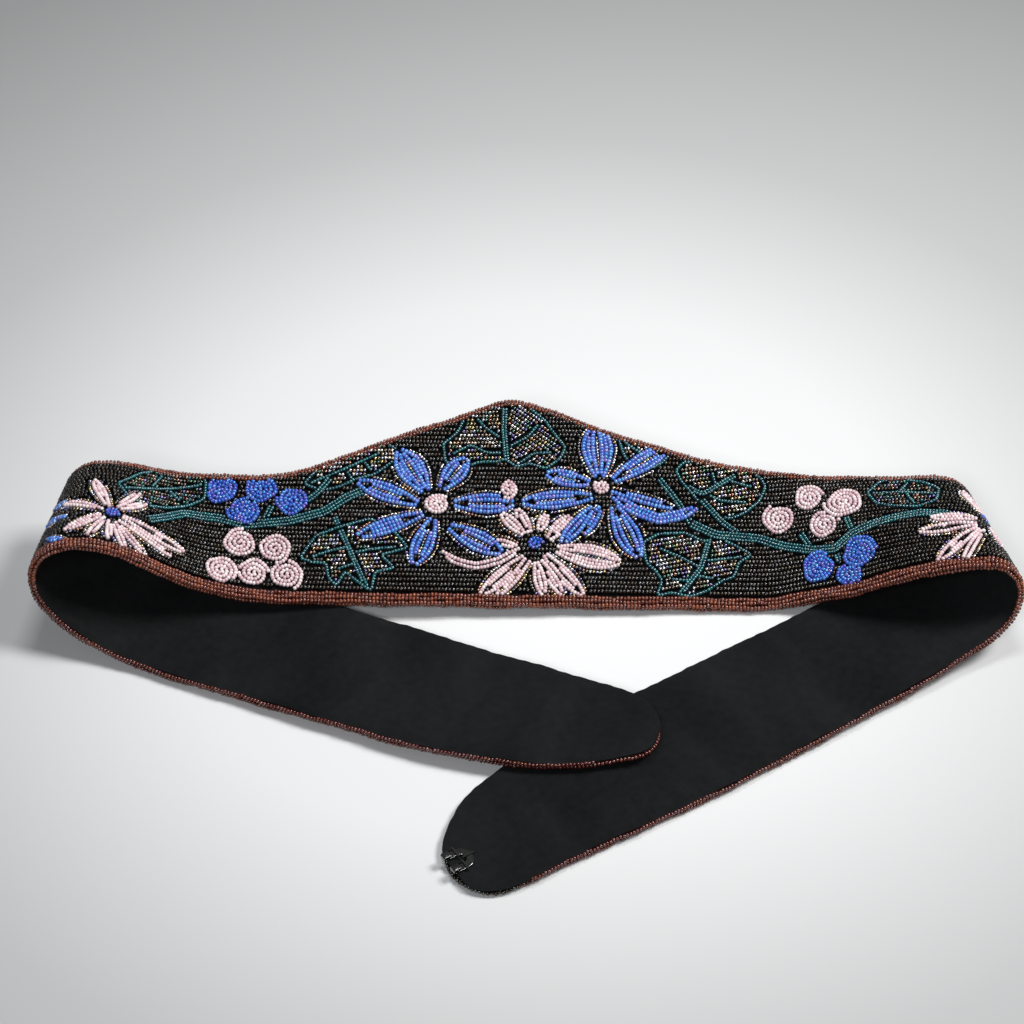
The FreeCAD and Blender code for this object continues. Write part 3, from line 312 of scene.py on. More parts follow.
MOTIF['pink_mid_c'] = [
    ('d', (2.8, 18.5), 2.3, 2),
]
MOTIF['bud'] = [
    ('d', (-4.3, 35.2), 2.6, 3.1),
]
MOTIF['pink_berries_left'] = [
    ('b', (-74.1, 17), 4.1),
    ('b', (-65.2, 15.8), 4.1),
    ('b', (-79.1, 7.6), 4.1),
    ('b', (-70.5, 8), 4.1),
    ('b', (-61.9, 8), 4.1),
]
MOTIF['blue_berries_left'] = [
    ('b', (-79.8, 33.6), 4.2),
    ('b', (-69.1, 34), 4.2),
    ('b', (-61, 30.5), 4.2),
    ('b', (-73.5, 27.4), 4.2),
]
MOTIF['pink_berries_right'] = [
    ('b', (67.2, 26.8), 4.2),
    ('b', (76, 32.1), 4.1),
    ('b', (85.8, 29.1), 4.9),
    ('b', (79.7, 22.7), 4.2),
]
MOTIF['blue_berries_right'] = [
    ('b', (77.2, 9.8), 4.5),
    ('b', (89.3, 11.7), 4.6),
    ('b', (85.4, 5.8), 3.8),
]
MOTIF['turn_left'] = [
    ('p', (-112.1, 17.5), (-115.9, 29), 2.9, 1),
    ('p', (-110, 18.2), (-103.6, 26.5), 2.4, 1),
    ('p', (-109, 17.8), (-101.4, 23), 2.1, 1),
    ('p', (-108.4, 14.8), (-89.4, 10.2), 3.7, 2),
    ('p', (-109.4, 13), (-93.3, 7), 2.4, 1),
    ('p', (-110.2, 12), (-101.5, 2.9), 2.7, 1),
    ('p', (-110.7, 11.7), (-106.8, 1.5), 2.4, 1),
    ('p', (-111.7, 12.1), (-111.6, 4.3), 2.1, 1),
    ('p', (-112.7, 13), (-116.9, 4.6), 2.4, 1),
    ('p', (-113.6, 13.8), (-122.5, 6.9), 2.9, 1),
    ('p', (-113.4, 15.9), (-123.7, 20.5), 2.7, 1),
]
MOTIF['turn_left_c'] = [
    ('d', (-111.1, 15.4), 2, 1.9),
]
MOTIF['turn_left_blue'] = [
    ('p', (-120.9, 20.5), (-127.9, 22.4), 2.1, 1),
    ('p', (-122.2, 13.4), (-129.3, 15.6), 2.1, 1),
    ('p', (-122.4, 2.3), (-127.1, 5.5), 2.1, 1),
]
MOTIF['turn_right'] = [
    ('p', (122.4, 25), (116.5, 32.8), 3.2, 1),
    ('p', (120.1, 19.7), (108.3, 19.9), 3.2, 1),
    ('p', (120, 17.1), (105.2, 14.5), 3.5, 2),
    ('p', (120.2, 15.6), (109.9, 3), 3.7, 2),
    ('p', (121.4, 15.3), (115.5, 0), 2.7, 1),
    ('p', (123.8, 19.2), (126.9, 11.6), 2.4, 1),
    ('p', (122.9, 26.1), (121, 31.6), 2.4, 1),
]
MOTIF['turn_right_c'] = [
    ('d', (123.5, 24), 1.8, 1.7),
]
MOTIF['stem_left'] = [
    ('l', [(-100.4, 17.7), (-89.6, 24.2), (-80.1, 24.4), (-73.1, 22.8), (-61.4, 24.4), (-52.5, 27.3), (-46.5, 32), (-42.7, 33.9)], 1.6),
    ('l', [(-61.4, 24.4), (-58.9, 29), (-54.3, 33.1), (-51.3, 37.5)], 1.1),
    ('l', [(-73.1, 22.8), (-76.7, 29)], 0.9),
    ('l', [(-68.6, 23.2), (-66.3, 28.8)], 0.9),
]
MOTIF['stem_right'] = [
    ('l', [(43.8, 25.4), (50.1, 22.1), (61.5, 21.2), (68.3, 18.2), (75.7, 15.5), (82.3, 14.7), (87.7, 18.3), (96.8, 20.6), (106, 22.5), (112.9, 21.5)], 1.6),
    ('l', [(87.7, 18.3), (86.3, 23.7)], 0.9),
    ('l', [(75.7, 15.5), (72.8, 21.3)], 0.9),
    ('l', [(82.3, 14.7), (83.1, 10.5)], 0.9),
    ('l', [(35.8, 39.1), (40.8, 31.5), (43.8, 25.4)], 1.3),
    ('l', [(46.9, 32.8), (51.9, 26.1), (56.5, 22.3)], 1.1),
]
MOTIF['leaf_peak'] = [
    ('o', [(-20.9, 43), (-21.5, 48.9), (-17.8, 52.4), (-15.9, 57), (-11.4, 58.9), (-8.6, 61.2), (-3.8, 61.6), (1.7, 60.5), (5.7, 56.7), (8.5, 52), (11.1, 48.3), (9.5, 44.8), (5.8, 41.6), (1.5, 43.2), (-2.1, 42), (-5.1, 44.5), (-7.1, 43.5), (-11.4, 43.5), (-15.4, 41.8)], [[(-5.1, 60.5), (-5.3, 53.3), (-4.6, 43.3)], [(-5.1, 50.1), (-10, 53.9), (-12.5, 57)], [(-5.1, 47.6), (1, 51.5), (3.8, 55.4)], [(-18.9, 45.8), (-14.3, 48.7), (-10, 46.3), (-5.3, 46.3)], [(-1.1, 43.4), (2.7, 46.5), (7.4, 46.7)]]),
]
MOTIF['leaf_flank_left'] = [
    ('o', [(-58.1, 35.7), (-54.5, 40.5), (-48.9, 43), (-43.1, 46.2), (-37.4, 48.6), (-34.1, 47.4), (-33.5, 44.3), (-36.6, 41.5), (-39.7, 38.9), (-44.5, 37.5), (-48.6, 35), (-53.2, 33.7)], [[(-56.4, 36), (-48.7, 39.9), (-38.3, 45.7)], [(-47.3, 40.6), (-45.5, 37.5)], [(-42.9, 43.5), (-40.4, 40.1)]]),
]
MOTIF['leaf_low_left'] = [
    ('o', [(-58.4, 13.2), (-54.6, 19.9), (-48.3, 22.8), (-40.5, 25.4), (-34.7, 22.4), (-30.4, 16.7), (-37.5, 14.5), (-33.9, 10.6), (-38.8, 9.4), (-39.8, 3.7), (-42.3, 5.5), (-46.6, 9.3), (-48.8, 5), (-50.9, 7.4), (-51.6, 11.9), (-55.2, 11.9)], [[(-49.7, 25.7), (-46, 16.8), (-41.1, 4.9)], [(-46, 16.8), (-50.7, 15.5), (-55.3, 13.6)], [(-45, 15), (-39.2, 16.3), (-33.5, 17)], [(-43.9, 12), (-48.5, 10.1)]]),
]
MOTIF['leaf_low_right'] = [
    ('o', [(31.6, 13.3), (31.1, 19.6), (35.1, 22.1), (41.9, 22.6), (47, 20), (50.7, 21), (55.2, 18.9), (59.4, 16.2), (55.9, 13.8), (54.3, 9.2), (51.8, 8.6), (47.4, 5.3), (42.8, 3.4), (38, 4.5), (34.1, 3.5), (35.7, 8), (34.1, 11)], [[(48.2, 20.3), (45.9, 12.1), (39.9, 3.6)], [(45.9, 12.1), (40.5, 15.3), (35.3, 17.7)], [(46.8, 14.2), (51.5, 14.8), (56.8, 15.6)], [(43.4, 8.2), (38.1, 8.6)], [(44.5, 9.7), (49.1, 8.9)]]),
]
MOTIF['leaf_up_right'] = [
    ('o', [(40.2, 41.7), (42.5, 44.5), (46.8, 44.3), (51.5, 43.2), (56.9, 42), (62.6, 40.2), (64.1, 37), (62.2, 32.7), (58.3, 29), (54, 27), (50.4, 28.2), (46.3, 31.8), (44.2, 34.9), (41.8, 38)], [[(56, 40.5), (47, 34.4), (43.3, 36.7)], [(47.5, 34.9), (52.1, 32.5), (58.5, 32.2)], [(50.8, 36.9), (49.9, 41.2)], [(54, 38.9), (60.2, 37)]]),
]
MOTIF['leaf_far_left'] = [
    ('o', [(-110, 28.4), (-103.7, 34.5), (-94.2, 38.5), (-86.7, 38.5), (-83.9, 35.8), (-84.1, 30), (-88.7, 26.9), (-94.8, 24.2), (-101.7, 22.5), (-106.6, 23.7)], [[(-108.8, 27), (-97.3, 30.4), (-85, 34.5)], [(-100.6, 29.2), (-96.7, 35.3)], [(-94.8, 31.1), (-91.1, 28)]]),
]
MOTIF['leaf_far_right'] = [
    ('o', [(92.1, 31.5), (95.6, 36.1), (100.9, 36.6), (106.7, 34.9), (110.9, 32.2), (110.1, 27.2), (105.4, 25), (99.1, 25.6), (94.4, 27.2)], [[(93.4, 31.3), (100.8, 31.3), (110.1, 30)], [(100.3, 31.2), (102.9, 35.1)], [(102.1, 31.3), (104.4, 26.3)]]),
]
MOTIF['leaf_curl_right'] = [
    ('o', [(24.6, 53.8), (29.3, 50.8), (34.1, 49.4), (39.4, 47.3), (36.7, 44.1), (32.9, 41.5), (29.1, 42), (26.6, 46.2)], [[(25.6, 51.3), (30.9, 47.1), (36.8, 46)]]),
]

# ------------------------------------------------------------------ laying beads in the flat
CELL = 1.6
occupied = {}


def clear(x, y, r, row):
    cx, cy = int(math.floor(x / CELL)), int(math.floor(y / CELL))
    rr = r * r
    for i in (cx - 1, cx, cx + 1):
        for j in (cy - 1, cy, cy + 1):
            for (a, b, k) in occupied.get((i, j), ()):
                if k != row and (a - x) ** 2 + (b - y) ** 2 < rr:
                    return False
    return True


def occupy(x, y, row):
    occupied.setdefault((int(math.floor(x / CELL)), int(math.floor(y / CELL))), []).append((x, y, row))


BEADS = {}          # piece -> rows of (s, v, n, angle, length, diameter, shade)
row_count = [0]


def lay(piece, path, pitch, dia, n, shades, gap=None, keep=None, edge=EW - 0.1, chance=None, loose=0.0):
    """strings beads along a flat path, leaving out those that have no room"""
    path = np.asarray(path, float)
    if len(path) < 2:
        return
    d = np.r_[0, np.cumsum(np.linalg.norm(np.diff(path, axis=0), axis=1))]
    if d[-1] < pitch * 0.6:
        return
    k = max(int(round(d[-1] / pitch)), 1)
    x = (np.arange(k) + 0.5) * d[-1] / k
    if loose:
        x = np.clip(np.cumsum(rng.normal(1.0, loose, k)) * d[-1] / k + rng.uniform(-0.5, 0.5) * pitch, 0, d[-1])
    ps = np.interp(x, d, path[:, 0])
    pv = np.interp(x, d, path[:, 1])
    qs = np.interp(x + 0.3, d, path[:, 0]) - np.interp(x - 0.3, d, path[:, 0])
    qv = np.interp(x + 0.3, d, path[:, 1]) - np.interp(x - 0.3, d, path[:, 1])
    ang = np.arctan2(qv, qs)
    p = np.stack([ps, pv], axis=1)
    ok = np.ones(k, bool)
    if edge is not None:
        ok &= clear_of_edge(p, edge)
    if keep is not None:
        ok &= keep(p)
    row_count[0] += 1
    row = row_count[0]
    gap = dia * 0.86 if gap is None else gap
    out = BEADS.setdefault(piece, [])
    for i in range(k):
        if not ok[i] or (chance is not None and rng.random() > chance):
            continue
        if clear(ps[i], pv[i], gap, row):
            out.append((ps[i] + rng.normal(0, 0.025), pv[i] + rng.normal(0, 0.03), n + rng.normal(0, 0.03),
                        ang[i] + rng.normal(0, 0.05), pitch * 0.97 * rng.uniform(0.94, 1.02), dia * rng.uniform(0.95, 1.04),
                        shades[int(rng.integers(len(shades)))]))
            occupy(ps[i], pv[i], row)


SHAPE = np.array([(0.0, 0.12), (0.15, 0.27), (0.35, 0.42), (0.55, 0.5), (0.75, 0.43), (0.9, 0.26), (1.0, 0.08)])


def petal(piece, b, t, w, lobes, dia, pitch, shades, space, halo=None):
    b, t = np.array(b, float), np.array(t, float)
    u = t - b
    ln = np.linalg.norm(u)
    u /= ln
    x = np.array([-u[1], u[0]])
    f = np.linspace(0, 1, 60)
    g = np.interp(f, SHAPE[:, 0], SHAPE[:, 1]) * w

    def at(y, sel=slice(None)):
        return (b + u * (f[sel] * ln)[:, None] + x * y[sel][:, None])
    if lobes == 2 and w > 3.4:
        k = max(int(round(0.41 * w / space)), 2)
        qs = list(np.linspace(-1 + 1.0 / k, 1 - 1.0 / k, k))
        order = [qs[-1]] + qs[:1] + qs[1:-1]
        lean = rng.uniform(-0.012, 0.012)
        for q in order:
            for side in (1, -1):
                y = side * (0.565 * g + 0.435 * g * q) + lean * w * np.sin(math.pi * f)
                stop = rng.uniform(0.93, 1.0) if q != qs[-1] else 1.0
                sel = f <= stop
                lay(piece, at(y, sel), pitch, dia, 0.98, shades, gap=dia * 0.7)
        if w > 5:
            sel = (f > 0.22) & (f < 0.8)
            lay("iris_fill", at(g * 0, sel), pitch, 0.95, 0.74, IRIS, gap=0.74)
    else:
        n = max(int(round(w / space)), 1)
        us = [0.0] if n == 1 else list(np.linspace(-1 + 0.9 / n, 1 - 0.9 / n, n))
        us.sort(key=abs, reverse=True)
        for q in us:
            lay(piece, at(g * q), pitch, dia, 0.98, shades, gap=dia * 0.74)
    if halo is not None:
        ring = np.vstack([at(g + 0.72), at(-(g + 0.72))[::-1]])
        HALO.append(ring)


HALO = []


def strip(piece, pts, w, dia, pitch, shades, space, n=0.98, taper=False, rows=None, edge=EW - 0.1):
    p = resample(np.array(pts, float), 0.5)
    for _ in range(4):
        p[1:-1] = (p[:-2] + p[1:-1] * 2 + p[2:]) / 4
    t = unit(np.gradient(p, axis=0))
    x = np.stack([-t[:, 1], t[:, 0]], axis=1)
    f = np.linspace(0, 1, len(p))
    g = np.full(len(p), w / 2)
    if taper:
        g = g * np.minimum(1, 0.2 + 1.7 * np.sin(math.pi * f))
    k = rows or max(int(round(w / space)), 1)
    for i in range(k):
        q = 0.0 if k == 1 else (-1 + 2 * i / (k - 1)) * (k - 1) / k
        lay(piece, p + x * (g * q)[:, None], pitch, dia, n, shades, gap=dia * 0.78, edge=edge)


def disc(piece, c, rx, ry, dia, pitch, shades, n=1.02, space=1.05, wobble=0.05, drop=0.0):
    """one string wound in from the rim, a little uneven as it is sewn"""
    turns = max((min(rx, ry) - dia * 0.45) / space, 0.6)
    th = np.linspace(0, 2 * math.pi * turns, int(40 * turns) + 8)
    left = 1 - th / (2 * math.pi * turns)
    ph = rng.uniform(0, 2 * math.pi, 4)
    k = 1 + wobble * np.sin(3 * th + ph[0]) * left + wobble * 0.7 * np.sin(5 * th + ph[1]) * left
    a = (rx - dia * 0.45) * left * k + 0.18
    b = (ry - dia * 0.45) * left * k + 0.18
    px, py = a * np.cos(th + ph[2]), b * np.sin(th + ph[2])
    px = px * (1 - drop * np.clip(py / ry, 0, 1))
    lay(piece, np.stack([c[0] + px, c[1] + py], axis=1), pitch, dia, n, shades, gap=dia * 0.7)


# shades are numbered inside each family: see the materials below
BLACK, BROWN, BLUE = ["k0", "k0", "k0", "k1", "k1", "k2"], ["r0", "r1", "r1", "r2"], ["b0", "b0", "b1", "b1", "b2"]
PINK, TEAL = ["p0", "p0", "p1", "p2"], ["t0", "t0", "t1", "t2"]
IRIS = ["i0", "i0", "i0", "i0", "i1", "i2", "i3", "i4", "i5", "i5", "i6", "i6"]
HALO_MIX = ["i0", "i0", "i1", "i2", "i3", "i5", "i5", "i6", "k0"]
DIM = ["i0", "k0", "k0", "k2", "i4", "t2", "i3", "i2", "k2", "k1"]
DEEP = ["r3", "r3", "r3", "r0"]
# black beads in painted shade: mostly the darker, less reflective k3 copy
BLACK_PAINTED_SHADE = ["k3", "k3", "k3", "k1", "k2"]
PETAL = ["b3", "b3", "b3", "b4", "b4", "b5"]
GLOSS_BLUE = dict(dia=1.32, pitch=0.98, shades=PETAL, space=1.25)
MATT_PINK = dict(dia=1.1, pitch=0.88, shades=PINK, space=1.12)

# flower hearts, buds and berries first, then petals, outlines, fills and last the ground
for key, piece, kw in (("blue_left_c", "blue_flower_left_centre", PINK), ("blue_right_c", "blue_flower_right_centre", PINK),
                       ("pink_mid_c", "pink_flower_heart", BLUE), ("turn_left_c", "turn_flower_left_heart", BLUE),
                       ("turn_right_c", "turn_flower_right_heart", BLUE), ("bud", "pink_bud", PINK)):
    for m in MOTIF[key]:
        disc(piece, m[1], m[2] * 1.05, m[3] * 1.08, 1.1, 0.88, kw, space=0.98, wobble=0.03, drop=0.62 if key == "bud" else 0.0)
for key, kw in (("pink_berries_left", PINK), ("blue_berries_left", BLUE), ("pink_berries_right", PINK), ("blue_berries_right", BLUE)):
    for m in MOTIF[key]:
        big = 1.12 if kw is PINK else 1.09
        disc(key, m[1], m[2] * big * rng.uniform(0.98, 1.04), m[2] * big * rng.uniform(0.95, 1.02), 1.1 if kw is PINK else 1.22, 0.9, kw,
             space=1.2 if kw is PINK else 1.12, wobble=0.05 if kw is PINK else 0.08)
for key, piece, kw in (("blue_left", "blue_flower_left", GLOSS_BLUE), ("blue_right", "blue_flower_right", GLOSS_BLUE),
                       ("pink_mid", "pink_flower", MATT_PINK), ("turn_left", "turn_flower_left", MATT_PINK),
                       ("turn_left_blue", "turn_flower_left_blue", GLOSS_BLUE), ("turn_right", "turn_flower_right", MATT_PINK)):
    for m in MOTIF[key]:
        if m[0] == "p":
            petal(piece, m[1], m[2], m[3], int(m[4]), halo=True, **kw)
        else:
            strip(piece, m[1], m[2], kw["dia"], kw["pitch"], kw["shades"], kw["space"], taper=True)
LEAVES = [k for k in MOTIF if k.startswith("leaf_")]
SLIM = ("leaf_flank_left", "leaf_far_left", "leaf_far_right", "leaf_curl_right")
for key in ("stem_left", "stem_right"):
    for m in MOTIF[key]:
        if m[2] > 1.5:
            strip(key, m[1], 2.75, 0.84, 0.84, TEAL, 0.8, n=0.88, rows=3)
        else:
            strip(key, m[1], 1.9, 0.86, 0.84, TEAL, 0.8, n=0.88, rows=2)
for key in LEAVES:
    for m in MOTIF[key]:
        ring = np.array(list(m[1]) + [m[1][0]], float)
        ring = resample(ring, 0.4)[:-1]
        for _ in range(5):
            ring = (np.roll(ring, 1, 0) + 2 * ring + np.roll(ring, -1, 0)) / 4
        lay(key + "_line", np.vstack([ring, ring[:1]]), 0.84, 0.9, 0.92, TEAL, gap=0.75)
        for vein in m[2]:
            strip(key + "_line", vein, 1.55, 0.86, 0.84, TEAL, 0.8, n=0.88, rows=2 if vein is m[2][0] and key not in SLIM else 1)
for ring in HALO:
    lay("halo", ring, 0.92, 1.05, 0.74, HALO_MIX, gap=0.8, chance=0.97)


def off_edge(p):
    # room for the edging: three strings along the lower side, two along the upper
    return clear_of_edge(p, EW + 0.3) | ((p[:, 1] > W / 2) & clear_of_edge(p, 2.45))


def fill_rows(piece, poly, angle, dia, pitch, space, shades, n, keep=None):
    poly = np.asarray(poly, float)
    c = poly.mean(0)
    a = math.radians(angle)
    u, x = arr(math.cos(a), math.sin(a)), arr(-math.sin(a), math.cos(a))
    q = (poly - c) @ u
    r = (poly - c) @ x
    k = r.min()
    while k < r.max():
        line = c + x * k + u * np.linspace(q.min(), q.max(), 40)[:, None]
        test = (lambda p: inside(poly, p)) if keep is None else (lambda p: inside(poly, p) & keep(p))
        lay(piece, line, pitch, dia, n, shades, gap=0.88, keep=lambda p: test(p) & off_edge(p), edge=None, loose=0.05)
        k += space


for key in LEAVES:
    for m in MOTIF[key]:
        if key == "leaf_peak":
            fill_rows("iris_fill", m[1], 2, 1.18, 0.93, 1.2, IRIS, 0.8, keep=lambda p: p[:, 0] < -4.2)
            fill_rows("iris_fill", m[1], -38, 1.18, 0.93, 1.2, IRIS, 0.8, keep=lambda p: p[:, 0] >= -4.2)
        elif key.startswith("leaf_far"):
            fill_rows("iris_fill", m[1], 3, 1.18, 0.93, 1.2, DIM, 0.8)
        else:
            fill_rows("iris_fill", m[1], {"leaf_low_right": 12, "leaf_up_right": 10}.get(key, 3), 1.18, 0.93, 1.2, IRIS, 0.8)

# ground: rows along the band
for k in range(60):
    vv = EW - 0.35 + 0.40 + k * 1.36
    if vv > 63:
        break
    gs = np.arange(-306.0, 304.6, 1.0)
    wave = 0.10 * np.sin(gs * 0.07 + k * 0.7) + 0.06 * np.sin(gs * 0.19 + k * 2.1)
    lay("ground", np.stack([gs, vv + wave], axis=1), 0.96, 1.34, 0.75, BLACK, gap=0.84, edge=None,
        keep=lambda p: inside(OUT[::4], p) & off_edge(p), loose=0.05)
# round the rolls and along the tails the black beads change, more and more, to a darker, less reflective copy: painted
# shade where the rolls keep the light off
BEADS["ground"] = [b[:6] + (BLACK_PAINTED_SHADE[int(rng.integers(len(BLACK_PAINTED_SHADE)))],) if rng.random() < (abs(b[0]) - 78) / 22.0 else b
                   for b in BEADS["ground"]]

# edging: three strings on the beaded side, two of them along the upper edge, and a finer one that shows on the lining side
_run = np.arange(len(OUT)) * 0.5
for row, (d, n, dia, pitch) in enumerate(((0.60, 0.62, 1.2, 0.94), (1.66, 0.84, 1.2, 0.94), (2.70, 0.78, 1.18, 0.94), (0.40, -0.38, 1.08, 0.92))):
    sway = 0.16 * np.sin(_run * 0.21 + row * 0.5) + 0.10 * np.sin(_run * 0.47 + row * 1.9)
    high = OUT[:, 1] > W / 2
    path = OUT + OUT_IN * (np.where(high, 0.52 + (d - 0.6) * 0.86, d) + sway * np.where(high, 0.6, 1.0))[:, None]
    path = np.vstack([path, path[:1]])
    row_count[0] += 1
    ln = np.r_[0, np.cumsum(np.linalg.norm(np.diff(path, axis=0), axis=1))]
    k = int(round(ln[-1] / pitch))
    x = (np.arange(k) + 0.5) * ln[-1] / k
    ps, pv = np.interp(x, ln, path[:, 0]), np.interp(x, ln, path[:, 1])
    ang = np.arctan2(np.interp(x + 0.6, ln, path[:, 1]) - np.interp(x - 0.6, ln, path[:, 1]),
                     np.interp(x + 0.6, ln, path[:, 0]) - np.interp(x - 0.6, ln, path[:, 0]))
    for i in range(k):
        if row >= 2 and pv[i] > W / 2 - (0 if abs(ps[i]) < 290 else 8) or row == 3 and ps[i] > 289:
            continue
        mix = BROWN if abs(ps[i]) < 140 else BLACK if ps[i] > 292 else DEEP
        BEADS.setdefault("edging", []).append(
            (ps[i], pv[i] + rng.normal(0, 0.07), n + rng.normal(0, 0.07), ang[i] + rng.normal(0, 0.12),
             pitch * 0.95 * rng.uniform(0.9, 1.02), dia * rng.uniform(0.93, 1.05) * (0.9 if pv[i] > W / 2 else 1.0) * (1.0 if abs(ps[i]) < 140 or row < 3 else 0.86),
             mix[int(rng.integers(len(mix)))]))


# ------------------------------------------------------------------ materials
def principled(name):
    m = bpy.data.materials.new(name)
    m.use_nodes = True
    nt = m.node_tree
    return m, nt, nt.nodes["Principled BSDF"]


def bead_glass(name, color, rough, ior=1.5, metal=0.0, film=None, coat=0.0, spec=0.5):
    m, nt, p = principled(name)
    p.inputs["Base Color"].default_value = (*color, 1)
    p.inputs["Roughness"].default_value = rough
    p.inputs["IOR"].default_value = ior
    p.inputs["Metallic"].default_value = metal
    p.inputs["Coat Weight"].default_value = coat
    p.inputs["Coat Roughness"].default_value = 0.04
    p.inputs["Specular IOR Level"].default_value = spec
    lo, hi = film or (180.0, 320.0)
    co = nt.nodes.new("ShaderNodeTexCoord")
    no = nt.nodes.new("ShaderNodeTexNoise")
    no.inputs["Scale"].default_value = 620.0
    no.inputs["Detail"].default_value = 2.0
    mr = nt.nodes.new("ShaderNodeMapRange")
    mr.inputs["From Min"].default_value = 0.3
    mr.inputs["From Max"].default_value = 0.7
    mr.inputs["To Min"].default_value = lo
    mr.inputs["To Max"].default_value = hi
    nt.links.new(co.outputs["Object"], no.inputs["Vector"])
    nt.links.new(no.outputs["Fac"], mr.inputs["Value"])
    if film:
        nt.links.new(mr.outputs["Result"], p.inputs["Thin Film Thickness"])
        p.inputs["Thin Film IOR"].default_value = 1.38
    else:
        # a faint uneven surface glow keeps plain beads from looking identical
        mr.inputs["To Min"].default_value = 0.0
        mr.inputs["To Max"].default_value = 60.0
        nt.links.new(mr.outputs["Result"], p.inputs["Thin Film Thickness"])
        p.inputs["Thin Film IOR"].default_value = 1.33
    return m


MATS = {
    "k0": bead_glass("bead_black", (0.004, 0.004, 0.0046), 0.13, ior=1.9, coat=0.6),
    "k1": bead_glass("bead_black_soft", (0.008, 0.0075, 0.0075), 0.17, ior=1.8),
    "k2": bead_glass("bead_black_brown", (0.011, 0.007, 0.005), 0.12, ior=1.6),
    # k3: a darker, less reflective copy of the black bead, used only as painted shade round the rolls and along the
    # tails
    "k3": bead_glass("bead_black_painted_shade", (0.0035, 0.0035, 0.004), 0.16, ior=1.5),
    "r0": bead_glass("bead_brown", (0.100, 0.022, 0.015), 0.15, ior=1.8),
    "r1": bead_glass("bead_rust", (0.155, 0.040, 0.028), 0.18, ior=1.85),
    "r2": bead_glass("bead_copper", (0.26, 0.08, 0.046), 0.22, ior=1.6, metal=0.3),
    "r3": bead_glass("bead_garnet", (0.070, 0.009, 0.009), 0.13, ior=1.8),
    "b0": bead_glass("bead_blue", (0.040, 0.105, 0.50), 0.17, ior=2.0, film=(260, 420), coat=0.8),
    "b1": bead_glass("bead_blue_light", (0.085, 0.19, 0.64), 0.18, ior=2.0, film=(300, 460), coat=0.8),
    "b2": bead_glass("bead_blue_violet", (0.10, 0.11, 0.50), 0.17, ior=2.0, film=(280, 520), coat=0.8),
    "b3": bead_glass("bead_sky_blue", (0.085, 0.185, 0.62), 0.22, ior=2.4, film=(260, 420), coat=1.0),
    "b4": bead_glass("bead_sky_blue_pale", (0.16, 0.29, 0.76), 0.24, ior=2.4, film=(300, 460), coat=1.0),
    "b5": bead_glass("bead_lavender_blue", (0.19, 0.22, 0.64), 0.22, ior=2.4, film=(280, 520), coat=1.0),
    "p0": bead_glass("bead_pink", (0.80, 0.63, 0.655), 0.28),
    "p1": bead_glass("bead_pink_pale", (0.90, 0.77, 0.785), 0.3),
    "p2": bead_glass("bead_pink_deep", (0.66, 0.46, 0.50), 0.26),
    "t0": bead_glass("bead_teal", (0.004, 0.095, 0.12), 0.17, ior=2.0, coat=0.6),
    "t1": bead_glass("bead_teal_green", (0.006, 0.14, 0.155), 0.2, ior=2.0, coat=0.6),
    "t2": bead_glass("bead_teal_deep", (0.003, 0.062, 0.092), 0.15, ior=1.9, coat=0.6),
    "i0": bead_glass("bead_iris_dark", (0.20, 0.17, 0.135), 0.2, metal=1.0, film=(200, 620)),
    "i1": bead_glass("bead_iris_gold", (0.52, 0.41, 0.22), 0.22, metal=1.0, film=(200, 400)),
    "i2": bead_glass("bead_iris_bronze", (0.34, 0.20, 0.15), 0.22, metal=1.0, film=(200, 500)),
    "i3": bead_glass("bead_iris_violet", (0.17, 0.15, 0.30), 0.18, metal=1.0, film=(250, 550)),
    "i4": bead_glass("bead_iris_green", (0.10, 0.19, 0.14), 0.18, metal=1.0, film=(250, 550)),
    "i5": bead_glass("bead_iris_silver", (0.62, 0.60, 0.57), 0.22, metal=1.0, film=(150, 300)),
    "i6": bead_glass("bead_iris_steel", (0.34, 0.37, 0.44), 0.22, metal=1.0, film=(200, 420)),
}


